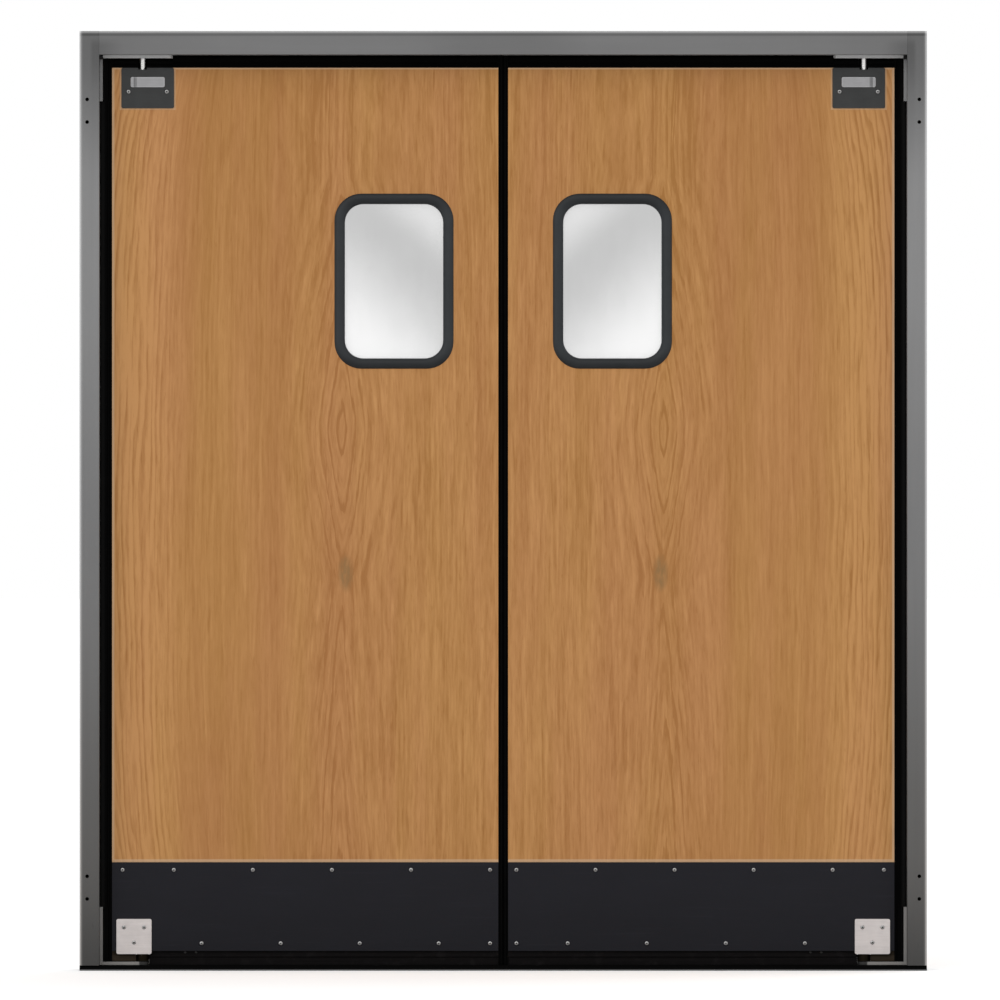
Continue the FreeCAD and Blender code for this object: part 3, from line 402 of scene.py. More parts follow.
def kick_plastic():
    """Black plastic sheet with a fine pebbled face and faint trolley rubs."""
    sheet = Finish("kick_plate_plastic", {"Specular IOR Level": 0.11})
    pebble = sheet.noise((520.0, 520.0, 520.0), 2.0)
    rubs = sheet.noise((5.0, 5.0, 150.0), 4.0, 0.65).rise(0.55, 0.72)
    cloud = sheet.noise((7.0, 7.0, 14.0), 3.0)
    level = 0.0068 + cloud * 0.0026 + rubs * 0.0016 + pebble * 0.0014 + sheet.z.rise(0.05, 0.24) * 0.0015
    colour = sheet.shade(sheet.mix(cloud, rgb(1.0, 0.98, 1.3), rgb(0.98, 1.0, 1.36)), level)
    return sheet.done(Base_Color=colour, Roughness=0.44 + pebble * 0.16 - rubs * 0.08,
                      Normal=sheet.bump(pebble, 0.00016))


def gasket_rubber(name, tint, runs):
    """Extruded rubber with faint draw lines, dust in the hollows and rubbed grey at the jambs."""
    rubber = Finish(name, {"Specular IOR Level": 0.02})
    lines = rubber.noise(runs, 2.0)
    dust = rubber.noise((38.0, 38.0, 38.0), 4.0, 0.65).rise(0.5, 0.8)
    rubbed = (rubber.x.size() + jamb_edge).rise(-0.014, -0.0075)
    level = 0.6 + lines * 0.6 + dust * 0.9 + rubbed * 3.4
    return rubber.done(Base_Color=rubber.shade(tint, level), Roughness=0.52 + dust * 0.25,
                       Normal=rubber.bump(lines, 0.00008))


def moulding_rubber():
    """Charcoal rubber round the windows, wiped clean and slightly shiny, with painted light making its
    upright sides lighter than its top and bottom.
    """
    rubber = Finish("window_moulding_rubber", {"Specular IOR Level": 0.16})
    skin = rubber.noise((420.0, 420.0, 420.0), 2.0)
    smear = rubber.noise((34.0, 34.0, 34.0), 4.0, 0.6)
    # Painted light: the upright sides of the ring are lighter than its top and bottom.
    upright_sides_painted_light = (rubber.z - window_centre.z).size().rise(0.19, 0.15)
    level = 0.0175 + upright_sides_painted_light * 0.0115 + (smear - 0.5) * 0.012 + (skin - 0.5) * 0.004
    return rubber.done(Base_Color=rubber.shade((0.9, 1.0, 1.09), level), Roughness=0.36 + smear * 0.2,
                       Normal=rubber.bump(skin + smear * 0.5, 0.0001))


def window_acrylic():
    """Clear acrylic with a wiped surface, mirrored from leaf to leaf. Its colour holds a painted
    reflection on a slant: light at the lower corner towards the hinges, dark through the middle and
    lighter again at the upper corner towards the meeting edge.
    """
    pane = Finish("window_acrylic", {"IOR": 1.49, "Specular IOR Level": 0.35})
    across = (-window_centre.x - pane.x.size()) / (WINDOW_WIDTH / 2)
    up = (pane.z - window_centre.z) / (WINDOW_HEIGHT / 2)
    # The painted reflection runs on a slant; the wipe marks waver its edges and also vary how clear and
    # how glossy the pane is.
    reflection_slant = across * 0.35 + up * 0.65
    wipes_and_reflection_waver = pane.noise((30.0, 30.0, 12.0), 4.0, 0.6)
    grime = pane.noise((260.0, 260.0, 260.0), 3.0)
    painted_reflection = reflection_slant + (wipes_and_reflection_waver - 0.5) * 0.12
    level = 0.882 - painted_reflection.rise(-0.82, 0.34) * 0.87 + painted_reflection.rise(0.4, 0.85) * 0.476 + (grime - 0.5) * 0.015
    return pane.done(Base_Color=pane.shade((1.0, 1.0, 1.003), level), Alpha=0.24 + wipes_and_reflection_waver * 0.03,
                     Roughness=0.05 + wipes_and_reflection_waver * 0.08 + grime * 0.03)


def dark_plate():
    """Dark oxide on the upper hinge plates, with faint brushed streaks."""
    plate = Finish("dark_hinge_plate", {"Specular IOR Level": 0.2})
    speckle = plate.noise((460.0, 460.0, 460.0), 2.0)
    cloud = plate.noise((36.0, 36.0, 36.0), 3.0)
    brush = plate.noise((22.0, 40.0, 650.0), 2.0)
    level = 0.031 + (cloud - 0.5) * 0.016 + (speckle - 0.5) * 0.006 + (brush - 0.5) * 0.008
    return plate.done(Base_Color=plate.shade((0.97, 1.0, 1.0), level), Roughness=0.34 + cloud * 0.2,
                      Normal=plate.bump(speckle + brush * 0.5, 0.00005))


def brushed_metal(name, tint, brush_scale, gloss):
    """Bare metal with a fine brushed grain and a few handling marks."""
    metal = Finish(name, {"Metallic": 1.0})
    brush = metal.noise(brush_scale, 3.0, 0.6)
    marks = metal.noise((45.0, 45.0, 45.0), 4.0, 0.6)
    level = 0.9 + (brush - 0.5) * 0.22 + (marks - 0.5) * 0.22
    return metal.done(Base_Color=metal.shade(tint, level), Roughness=gloss + marks * 0.16 + brush * 0.08,
                      Normal=metal.bump(brush, 0.00004))


def boss_metal():
    """Machined face of the bearing block, with painted shade in its groove and a painted highlight along
    its rim.
    """
    metal = Finish("bearing_block_metal", {"Metallic": 1.0})
    along = metal.x.size() + upper_plate_x
    off_slot = metal.z - (leaf_high.z - SLOT_DROP)
    brush = metal.noise((30.0, 60.0, 420.0), 3.0, 0.6)
    marks = metal.noise((45.0, 45.0, 45.0), 4.0, 0.6)
    # Painted shade darkens the groove, and a painted highlight lightens the rim.
    groove = along.rise(0.0328, 0.0316) * along.rise(0.0244, 0.0256)
    rim = off_slot.size().rise(0.0085, 0.0105).math("MAXIMUM", along.rise(-0.0358, -0.0374))
    rim = rim * off_slot.rise(-0.023, -0.015)
    level = 0.92 + (brush - 0.5) * 0.2 + (marks - 0.5) * 0.26 - groove * 0.34 + rim * 0.16
    return metal.done(Base_Color=metal.shade((0.283, 0.282, 0.287), level), Roughness=0.34 + marks * 0.16,
                      Normal=metal.bump(brush, 0.00004))


def bush_nylon():
    """Off-white nylon bushes."""
    nylon = Finish("bush_nylon", {"Specular IOR Level": 0.4})
    cloud = nylon.noise((140.0, 140.0, 140.0), 3.0)
    lines = nylon.noise((60.0, 60.0, 900.0), 2.0)
    colour = nylon.mix(cloud, rgb(0.66, 0.64, 0.56), rgb(0.78, 0.76, 0.69))
    return nylon.done(Base_Color=colour, Roughness=0.3 + cloud * 0.2, Normal=nylon.bump(lines, 0.00004))


def threshold_black():
    """Black anodised bar with a painted highlight along its foot, scuffed by feet and wheels on top."""
    bar = Finish("threshold_anodised", {"Specular IOR Level": 0.02})
    grain = bar.noise((14.0, 700.0, 700.0), 2.0)
    on_top = (bar.z - threshold_top).rise(-0.0015, -0.0002)
    scuffs = bar.noise((40.0, 9.0, 40.0), 4.0, 0.7).rise(0.56, 0.75) * on_top
    # foot: a painted highlight along the bottom edge of the bar.
    foot = bar.z.rise(0.0036, 0.0022) * (0.75 + grain * 0.5)
    level = 0.0008 + grain * 0.0006 + scuffs * 0.01 + foot * 0.11
    gloss = 0.42 + grain * 0.12 + scuffs * 0.2
    return bar.done(Base_Color=bar.shade((1.0, 1.0, 1.02), level), Roughness=gloss,
                    Normal=bar.bump(grain, 0.00005))


UPRIGHT_STREAKS = (70.0, 70.0, 2.5)
LEVEL_STREAKS = (2.5, 70.0, 70.0)
jamb_paint = frame_enamel("jamb_enamel", jamb_tone, UPRIGHT_STREAKS)
header_paint = frame_enamel("header_enamel", header_tone, LEVEL_STREAKS)
bracket_paint = bracket_enamel()
oak = oak_laminate()
core_board = core_wood()
kick_black = kick_plastic()
upright_rubber = gasket_rubber("upright_gasket_rubber", (0.0014, 0.0014, 0.0014), (260.0, 260.0, 3.0))
sweep_rubber = gasket_rubber("sweep_rubber", (0.0078, 0.007, 0.0072), (3.0, 260.0, 260.0))
level_rubber = gasket_rubber("level_gasket_rubber", (0.0009, 0.0009, 0.0009), (3.0, 260.0, 260.0))
heel_rubber = gasket_rubber("heel_gasket_rubber", (0.043, 0.033, 0.023), (3.0, 260.0, 260.0))
moulding_charcoal = moulding_rubber()
acrylic = window_acrylic()
oxide_plate = dark_plate()
pale_plate = brushed_metal("pale_hinge_plate", (0.565, 0.525, 0.512), (20.0, 40.0, 620.0), 0.3)
boss_face = boss_metal()
block_metal = brushed_metal("lower_block_metal", (0.25, 0.248, 0.25), (30.0, 60.0, 420.0), 0.4)
pin_metal = brushed_metal("pivot_pin_steel", (0.72, 0.71, 0.70), (80.0, 80.0, 500.0), 0.16)
screw_metal = brushed_metal("screw_zinc", (0.40, 0.395, 0.39), (200.0, 200.0, 200.0), 0.26)
# Dark metal for the rivets and the anchor sleeves; on the screw heads it is painted shade in the cross
# recesses.
dark_metal_and_recess_shade = brushed_metal("dark_metal_and_screw_recess_shade", (0.05, 0.049, 0.048), (200.0, 200.0, 200.0), 0.5)
clip_metal = brushed_metal("frame_clip_zinc", (0.48, 0.49, 0.50), (60.0, 60.0, 60.0), 0.4)
# The thrust collars are bronze, coloured near black as painted shade.
collar_bronze_in_painted_shade = brushed_metal("thrust_collar_bronze_painted_shade", (0.012, 0.0095, 0.006), (60.0, 60.0, 500.0), 0.42)
nylon = bush_nylon()
anodised = threshold_black()


# Meshes

TOUCH = 0.0001
SAME_POINT = 0.00001
FLAT_ANGLE = math.radians(0.5)
SMOOTH_ANGLE = math.radians(38)
SHARP_ANGLE = math.radians(50)


def block(bm, low, high):
    """A box between two corners."""
    corners = bmesh.ops.create_cube(bm, size=1.0)["verts"]
    bmesh.ops.scale(bm, vec=Vector(high) - Vector(low), verts=corners)
    bmesh.ops.translate(bm, vec=(Vector(high) + Vector(low)) / 2, verts=corners)


def rod(bm, place, radius, length):
    """A rod along y, centred on a place."""
    turned = Matrix.Translation(place) @ Matrix.Rotation(math.pi / 2, 4, "X")
    bmesh.ops.create_cone(bm, cap_ends=True, segments=32, radius1=radius, radius2=radius,
                          depth=length, matrix=turned)


def round_edges(bm, edges, width, segments):
    bmesh.ops.bevel(bm, geom=edges, offset=width, offset_type="OFFSET", segments=segments, profile=0.5,
                    affect="EDGES", clamp_overlap=True, material=-1)


def cut_across(bm, axis, level):
    """Cut every face where it crosses a level on an axis."""
    point = Vector((0, 0, 0))
    point[axis] = level
    normal = Vector((0, 0, 0))
    normal[axis] = 1
    bmesh.ops.bisect_plane(bm, geom=bm.verts[:] + bm.edges[:] + bm.faces[:], dist=0.0000001,
                           plane_co=point, plane_no=normal)


def edges_along(bm, axis, test):
    """The edges that run along an axis, where the test holds at both of their ends."""
    found = []
    for edge in bm.edges:
        run = edge.verts[1].co - edge.verts[0].co
        if abs(run[axis]) > 0.999 * run.length and all(test(vert.co) for vert in edge.verts):
            found.append(edge)
    return found


def narrow(bm, verts, middle, share):
    """Bring points nearer to a middle plane across the door."""
    bmesh.ops.scale(bm, vec=(1, share, 1), verts=verts, space=Matrix.Translation((0, -middle, 0)))


def gather(whole, part):
    """Add a finished mesh to another."""
    mesh = bpy.data.meshes.new("part")
    part.to_mesh(mesh)
    part.free()
    whole.from_mesh(mesh)
    bpy.data.meshes.remove(mesh)


def mirrored(bm):
    """Turn a left-hand mesh into its right-hand one."""
    bmesh.ops.scale(bm, vec=(-1, 1, 1), verts=bm.verts)
    return bm


def carved(bm, knife):
    """Take a knife's closed shapes out of a closed mesh."""
    objects = []
    for name, shape in (("carved", bm), ("knife", knife)):
        mesh = bpy.data.meshes.new(name)
        shape.to_mesh(mesh)
        shape.free()
        objects.append(bpy.data.objects.new(name, mesh))
        bpy.context.scene.collection.objects.link(objects[-1])
    cut = objects[0].modifiers.new("cut", "BOOLEAN")
    cut.operation = "DIFFERENCE"
    cut.solver = "EXACT"
    cut.object = objects[1]
    evaluated = objects[0].evaluated_get(bpy.context.evaluated_depsgraph_get())
    result = bpy.data.meshes.new_from_object(evaluated)
    left = bmesh.new()
    left.from_mesh(result)
    bpy.data.meshes.remove(result)
    for item in objects:
        mesh = item.data
        bpy.data.objects.remove(item)
        bpy.data.meshes.remove(mesh)
    return left


def merged_copy(node):
    """A copy of a node's mesh with its triangles joined into whole faces."""
    bm = bmesh.new()
    bm.from_mesh(frame["nodes"][node].data)
    bmesh.ops.remove_doubles(bm, verts=bm.verts, dist=SAME_POINT)
    bmesh.ops.dissolve_limit(bm, angle_limit=FLAT_ANGLE, verts=bm.verts, edges=bm.edges)
    return bm


def soften(bm, width, segments=2):
    """Round the sharp edges of a mesh."""
    sharp = [edge for edge in bm.edges if edge.is_manifold and edge.calc_face_angle() > SHARP_ANGLE]
    round_edges(bm, sharp, width, segments)
    return bm


def add_piece(name, bm, finishes, body, nodes=()):
    """Make a mesh a piece that rides on a body in place of its nodes."""
    bmesh.ops.recalc_face_normals(bm, faces=bm.faces)
    mesh = bpy.data.meshes.new(name)
    bm.to_mesh(mesh)
    bm.free()
    for finish in finishes:
        mesh.materials.append(finish)
    mesh.shade_smooth()
    mesh.set_sharp_from_angle(angle=SMOOTH_ANGLE)
    piece = bpy.data.objects.new(name, mesh)
    bpy.context.scene.collection.objects.link(piece)
    flats = piece.modifiers.new("flat_faces", "WEIGHTED_NORMAL")
    flats.keep_sharp = True
    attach(piece, body)
    if nodes:
        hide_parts(*nodes)


def add_pair(name, build, finish, node):
    """A piece on each leaf, built for the left one and mirrored for the right."""
    add_piece("left_" + name, build(), [finish], "left_leaf", ["left_" + node])
    add_piece("right_" + name, mirrored(build()), [finish], "right_leaf", ["right_" + node])


# Frame

def channel(face, half, length):
    """Steel channel along z: its web at x 0, its faces at each side and its lips at the wall."""
    inner = half - SHEET_GAUGE
    lip = half - WALL_LIP
    near = face - SHEET_GAUGE
    side = [(0, half), (face, half), (face, lip), (near, lip), (near, inner), (SHEET_GAUGE, inner)]
    outline = [(x, -y) for x, y in side] + [(x, y) for x, y in reversed(side)]
    bm = bmesh.new()
    section = bm.faces.new([bm.verts.new((x, y, 0)) for x, y in outline])
    made = bmesh.ops.extrude_face_region(bm, geom=[section])["geom"]
    top = [item for item in made if isinstance(item, bmesh.types.BMVert)]
    bmesh.ops.translate(bm, vec=(0, 0, length), verts=top)
    for x, radius in ((0, WELD_RADIUS), (face, FOLD_RADIUS)):
        folds = edges_along(bm, 2, lambda co: abs(abs(co.y) - half) < TOUCH and abs(co.x - x) < TOUCH)
        round_edges(bm, folds, radius, 4)
    return bm


def anchor_rods(middle, length):
    """Rods on the lines of the jambs' anchor holes, centred at a depth."""
    rods = bmesh.new()
    for mount in frame["record"]["mounts"]:
        if mount["kind"] != "bolt_pattern":
            continue
        dims = mount["dims"]
        x, y, z = mount["pos_m"]
        for side in (-0.5, 0.5):
            for level in (-0.5, 0.5):
                hole_x = x + side * dims["spacing_x_mm"] / 1000
                hole_z = z + level * dims["spacing_y_mm"] / 1000
                rod(rods, (hole_x, middle, hole_z), dims["hole_r_mm"] / 1000, length)
    return rods


def jamb(hand):
    low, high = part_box("left_jamb")
    bm = channel(high.x - low.x, high.y, high.z - low.z)
    bmesh.ops.rotate(bm, cent=(0, 0, 0), matrix=Matrix.Rotation(math.pi, 3, "Z"), verts=bm.verts)
    bmesh.ops.translate(bm, vec=(high.x, 0, low.z), verts=bm.verts)
    if hand == "right":
        mirrored(bm)
    bmesh.ops.recalc_face_normals(bm, faces=bm.faces)
    bm = carved(bm, anchor_rods(0.0, frame_half * 3))
    add_piece(hand + "_jamb_channel", bm, [jamb_paint], "frame", [hand + "_jamb"])


def header():
    low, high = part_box("header")
    bm = channel(high.z - low.z, high.y, high.x - low.x)
    bmesh.ops.rotate(bm, cent=(0, 0, 0), matrix=Matrix.Rotation(-math.pi / 2, 3, "Y"), verts=bm.verts)
    bmesh.ops.translate(bm, vec=(high.x, 0, low.z), verts=bm.verts)
    add_piece("header_channel", bm, [header_paint], "frame", ["header"])


def header_bracket(hand):
    """The upper angle, with a small relief notch at each outer corner of its bend."""
    node = hand + "_header_bracket"
    low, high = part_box(node)
    bm = merged_copy(node)
    knife = bmesh.new()
    outer = low.x if hand == "left" else high.x
    for y in (low.y, high.y):
        centre = Vector((outer, y, high.z))
        reach = Vector((RELIEF_NOTCH, RELIEF_NOTCH, RELIEF_HEIGHT))
        block(knife, centre - reach, centre + reach)
    bm = soften(carved(bm, knife), HEADER_BRACKET_EDGE)
    add_piece(node + "_strap", bm, [bracket_paint], "frame", [node])


for hand in ("left", "right"):
    jamb(hand)
    header_bracket(hand)
    lower = hand + "_lower_bracket"
    strap = soften(merged_copy(lower), LOWER_BRACKET_EDGE)
    add_piece(lower + "_strap", strap, [bracket_paint], "frame", [lower])
header()


# Gaskets

NECK_CUTS = (0.2, 0.24, 0.36, 0.42)
NECK_FROM, NECK_TO = 0.22, 0.38
NECK_WIDTH = 0.62
BLADE_WIDTH = 0.5
LEVEL_STEP = 0.001


def gasket_strip(whole, low, high, axis, sign):
    """A length of gasket that points along an axis: a root on the leaf, a neck and a round tip."""
    low, high = Vector(low), Vector(high)
    root, tip = (low[axis], high[axis]) if sign > 0 else (high[axis], low[axis])
    reach = tip - root
    strip = bmesh.new()
    block(strip, low, high)
    for share in NECK_CUTS:
        cut_across(strip, axis, root + reach * share)
    neck = [vert for vert in strip.verts if NECK_FROM < (vert.co[axis] - root) / reach < NECK_TO]
    narrow(strip, neck, (low.y + high.y) / 2, NECK_WIDTH)
    ends = edges_along(strip, 2 - axis, lambda co: abs(co[axis] - tip) < SAME_POINT)
    round_edges(strip, ends, min((high.y - low.y) * 0.48, abs(reach) * 0.5), 5)
    gather(whole, strip)


def hinge_gasket():
    """From the foot strap to the header strap, shorter where it meets the legs of the brackets."""
    bm = bmesh.new()
    leg = jamb_edge + BRACKET_GAUGE
    levels = (foot_strap_top, leg_low_end, leg_high_end, strap_under)
    for bottom, top, tip in zip(levels, levels[1:], (leg, jamb_edge, leg)):
        gasket_strip(bm, (tip, -gasket_half, bottom), (leaf_low.x, gasket_half, top), 0, -1)
    return bm


def meeting_gasket():
    bm = bmesh.new()
    low = (leaf_high.x, -gasket_half, threshold_top)
    gasket_strip(bm, low, (0.0, gasket_half, header_under), 0, 1)
    return bm


def top_gasket():
    """Under the header, lower below the strap and cut back round the pivot pin."""
    bm = bmesh.new()
    low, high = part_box("left_top_gasket")
    before, after = pin_x - PIN_RECESS_HALF, pin_x + PIN_RECESS_HALF
    strap_end = nose_end + SLIDE
    gasket_strip(bm, (leaf_low.x, low.y, low.z), (before, high.y, strap_under), 2, 1)
    gasket_strip(bm, (before, PIN_ROOM, low.z - PIN_RECESS_DEPTH), (after, high.y, strap_under), 2, 1)
    gasket_strip(bm, (after, low.y, low.z), (strap_end, high.y, strap_under), 2, 1)
    gasket_strip(bm, (strap_end, low.y, low.z), (leaf_high.x, high.y, header_under), 2, 1)
    return bm


def heel_gasket():
    bm = bmesh.new()
    low = (leaf_low.x, -gasket_half, foot_strap_top)
    gasket_strip(bm, low, (collar_low.x - SLIDE, gasket_half, leaf_low.z), 2, -1)
    return bm


def bottom_sweep():
    """A retainer strip under the leaf that grips a thin blade."""
    bm = bmesh.new()
    low = Vector((collar_high.x + SLIDE, -gasket_half, threshold_top))
    high = Vector((leaf_high.x, gasket_half, leaf_low.z))
    block(bm, low, high)
    lip = high.z - SWEEP_RETAINER
    cut_across(bm, 2, lip)
    cut_across(bm, 2, lip - LEVEL_STEP)
    for level in (lip - LEVEL_STEP / 2, low.z + LEVEL_STEP / 2):
        narrow(bm, [vert for vert in bm.verts if vert.co.z < level], 0, BLADE_WIDTH)
    round_edges(bm, edges_along(bm, 0, lambda co: abs(co.z - lip) < TOUCH), RETAINER_EDGE, 3)
    return bm


add_pair("hinge_gasket_bulb", hinge_gasket, upright_rubber, "hinge_gasket")
add_pair("meeting_gasket_bulb", meeting_gasket, upright_rubber, "meeting_gasket")
add_pair("top_gasket_bulb", top_gasket, level_rubber, "top_gasket")
add_pair("heel_gasket_bulb", heel_gasket, heel_rubber, "heel_gasket")
add_pair("bottom_sweep_blade", bottom_sweep, sweep_rubber, "bottom_sweep")


# Window mouldings

# Points of the bead: how far out from the opening, and how far from the middle of the leaf
INNER_SLOPE = ((0.0, 0.0085), (0.0012, 0.0118), (0.0042, 0.0146), (0.0085, 0.0162))
OUTER_SLOPE = ((0.0168, 0.0162), (0.0205, 0.0146), (0.0229, 0.0125))
CREST = 0.0125


def rounded_loop(bm, centre, width, height, corner, y):
    """The edges of a rounded rectangle that stands across the door at y."""
    before = set(bm.edges)
    corners = bmesh.ops.create_grid(bm, x_segments=1, y_segments=1, size=0.5)["verts"]
    bmesh.ops.scale(bm, vec=(width, height, 1), verts=corners)
    bmesh.ops.rotate(bm, cent=(0, 0, 0), matrix=Matrix.Rotation(math.pi / 2, 3, "X"), verts=corners)
    bmesh.ops.translate(bm, vec=(centre.x, y, centre.z), verts=corners)
    bmesh.ops.bevel(bm, geom=corners, offset=corner, offset_type="OFFSET", segments=10, profile=0.5,
                    affect="VERTICES", clamp_overlap=False, material=-1)
    edges = [edge for edge in bm.edges if edge not in before]
    faces = [face for face in bm.faces if face.edges[0] in edges and len(face.verts) > 4]
    bmesh.ops.delete(bm, geom=faces, context="FACES_ONLY")
    return edges


def next_loop(bm, rim, centre, before, after):
    """Extrude a rounded loop to the next: each is a corner radius, the half sizes inside it and a y."""
    made = bmesh.ops.extrude_edge_only(bm, edges=rim)["geom"]
    verts = {item for item in made if isinstance(item, bmesh.types.BMVert)}
    for vert in verts:
        for axis, half_before, half in ((0, before[1], after[1]), (2, before[2], after[2])):
            off = vert.co[axis] - centre[axis]
            straight = math.copysign(1, off)
            arm = (off - straight * half_before) * after[0] / before[0]
            vert.co[axis] = centre[axis] + straight * half + arm
        vert.co.y = after[3]
    return [edge for edge in bm.edges if verts.issuperset(edge.verts)]


def window_moulding():
    """One rubber channel: it grips the leaf outside and the pane inside, with a domed bead each side."""
    low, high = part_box("left_window_moulding")
    centre = (low + high) / 2
    width = (high.x - low.x - WINDOW_WIDTH) / 2
    grip = (pane_high.x - pane_low.x - WINDOW_WIDTH) / 2
    pane_half = pane_high.y
    side = [(0.0, pane_half), *INNER_SLOPE, (CREST, high.y), *OUTER_SLOPE]
    side += [(width, LEAF_HALF), (width / 2, LEAF_HALF)]
    section = [(out, -y) for out, y in reversed(side)] + [(grip, -pane_half), (grip, pane_half)] + side
    loops = []
    for out, y in section:
        corner = WINDOW_CORNER + (MOULDING_CORNER - WINDOW_CORNER) * out / width
        loops.append((corner, WINDOW_WIDTH / 2 + out - corner, WINDOW_HEIGHT / 2 + out - corner, y))
    bm = bmesh.new()
    corner, half_width, half_height, y = loops[0]
    rim = rounded_loop(bm, centre, (half_width + corner) * 2, (half_height + corner) * 2, corner, y)
    for before, after in zip(loops, loops[1:] + loops[:1]):
        rim = next_loop(bm, rim, centre, before, after)
    bmesh.ops.remove_doubles(bm, verts=bm.verts, dist=SAME_POINT)
    return bm


add_pair("window_moulding_bead", window_moulding, moulding_charcoal, "window_moulding")


# Plates and blocks

for hand in ("left", "right"):
    leaf = hand + "_leaf"
    for face in ("front", "rear"):
        kick = hand + "_" + face + "_kick_plate"
        sheet = soften(merged_copy(kick), KICK_PLATE_EDGE)
        add_piece(kick + "_sheet", sheet, [kick_black], leaf, [kick])
        upper = hand + "_upper_hinge_plate_" + face
        plate = soften(merged_copy(upper), UPPER_PLATE_EDGE)
        add_piece(upper + "_plate", plate, [oxide_plate], leaf, [upper])
        lower = hand + "_lower_hinge_plate_" + face
        plate = soften(merged_copy(lower), LOWER_PLATE_EDGE, 3)
        add_piece(lower + "_plate", plate, [pale_plate], leaf, [lower])
    block_node = hand + "_upper_bearing_block"
    boss = soften(merged_copy(block_node), BOSS_EDGE)
    add_piece(block_node + "_boss", boss, [boss_face], leaf, [block_node])


# Screws

PAN_RINGS = ((1.0, 0.0), (1.0, 0.3), (0.94, 0.62), (0.8, 0.86), (0.6, 1.0))
FLUSH_RINGS = ((0.8, -1.0), (0.97, -0.12), (0.94, 0.0), (0.62, 0.0))
PAN_RISE = 0.59
FLUSH_RISE = 0.0016
RECESS_SPAN = 0.82
RECESS_DEPTH = 0.4
RECESS_TAPER = 0.72
TURN_STEP = 0.65
STRAP_REACH = 0.03


def screw_head(whole, place, facing, radius, rise, rings, turn):
    """A round head with a cross recess, on a place and facing away from it."""
    head = bmesh.new()
    bmesh.ops.create_circle(head, cap_ends=True, segments=24, radius=radius * rings[0][0])
    bmesh.ops.translate(head, vec=(0, 0, rise * rings[0][1]), verts=head.verts)
    rim = list(head.edges)
    for (share_before, level_before), (share, level) in zip(rings, rings[1:]):
        made = bmesh.ops.extrude_edge_only(head, edges=rim)["geom"]
        verts = [item for item in made if isinstance(item, bmesh.types.BMVert)]
        bmesh.ops.translate(head, vec=(0, 0, rise * (level - level_before)), verts=verts)
        bmesh.ops.scale(head, vec=(share / share_before, share / share_before, 1), verts=verts)
        rim = [edge for edge in head.edges if all(vert in verts for vert in edge.verts)]
    top = rise * rings[-1][1]
    size = radius * rings[-1][0] * RECESS_SPAN
    grid = bmesh.ops.create_grid(head, x_segments=3, y_segments=3, size=size)["verts"]
    bmesh.ops.translate(head, vec=(0, 0, top), verts=grid)
    cells = [face for face in head.faces if all(vert in grid for vert in face.verts)]
    third = size / 3
    corners = [face for face in cells if min(abs(co) for co in face.calc_center_median().xy) > third]
    cross = [face for face in cells if face not in corners]
    bmesh.ops.delete(head, geom=corners, context="FACES")
    made = bmesh.ops.extrude_face_region(head, geom=cross)["geom"]
    floor_verts = [item for item in made if isinstance(item, bmesh.types.BMVert)]
    bmesh.ops.translate(head, vec=(0, 0, -radius * RECESS_DEPTH), verts=floor_verts)
    bmesh.ops.scale(head, vec=(RECESS_TAPER, RECESS_TAPER, 1), verts=floor_verts)
    bmesh.ops.delete(head, geom=cross, context="FACES")
    # The recess walls and floor take the second finish, which is painted shade.
    for face in head.faces:
        if any(vert in floor_verts for vert in face.verts):
            face.material_index = 1
    mouth = [edge for edge in head.edges if edge.is_boundary and edge not in rim]
    bmesh.ops.subdivide_edges(head, edges=mouth, cuts=1)
    bmesh.ops.bridge_loops(head, edges=[edge for edge in head.edges if edge.is_boundary])
    aim = Vector((0, 0, 1)).rotation_difference(Vector(facing)).to_matrix()
    aim = aim @ Matrix.Rotation(turn, 3, "Z")
    bmesh.ops.rotate(head, cent=(0, 0, 0), matrix=aim, verts=head.verts)
    bmesh.ops.translate(head, vec=place, verts=head.verts)
    bmesh.ops.recalc_face_normals(head, faces=head.faces)
    gather(whole, head)


def solid_boxes(node):
    """The lowest and highest corners of each separate solid in a node."""
    bm = merged_copy(node)
    boxes = []
    for start in bm.verts:
        if start.tag:
            continue
        start.tag = True
        group = [start]
        for vert in group:
            for edge in vert.link_edges:
                other = edge.other_vert(vert)
                if not other.tag:
                    other.tag = True
                    group.append(other)
        low = Vector([min(vert.co[axis] for vert in group) for axis in range(3)])
        high = Vector([max(vert.co[axis] for vert in group) for axis in range(3)])
        boxes.append((low, high))
    bm.free()
    return boxes


def leaf_screws(hand, name):
    """The pan heads on both faces of a leaf."""
    node = hand + "_" + name
    bm = bmesh.new()
    for count, (low, high) in enumerate(solid_boxes(node)):
        radius = (high.x - low.x) / 2
        rise = radius * PAN_RISE
        front = low.y < -LEAF_HALF
        place = (low + high) / 2
        place.y = low.y + rise if front else high.y - rise
        screw_head(bm, place, (0, -1 if front else 1, 0), radius, rise, PAN_RINGS, count * TURN_STEP)
    add_piece(node + "_heads", bm, [screw_metal, dark_metal_and_recess_shade], hand + "_leaf", [node])


def bracket_screws():
    """The flush heads in the four brackets, facing into the doorway."""
    bm = bmesh.new()
    for count, (low, high) in enumerate(solid_boxes("bracket_screws")):
        place = (low + high) / 2
        radius = max(high.y - low.y, min(high.x - low.x, high.z - low.z)) / 2
        if place.z > header_under - STRAP_REACH:
            facing = Vector((0, 0, -1))
        elif place.z < STRAP_REACH:
            facing = Vector((0, 0, 1))
        else:
            facing = Vector((-math.copysign(1, place.x), 0, 0))
        reach = Vector([(high[axis] - low[axis]) / 2 * facing[axis] for axis in range(3)])
        screw_head(bm, place + reach, facing, radius, FLUSH_RISE, FLUSH_RINGS, count * TURN_STEP)
    heads = [screw_metal, dark_metal_and_recess_shade]
    add_piece("bracket_screw_heads", bm, heads, "frame", ["bracket_screws"])


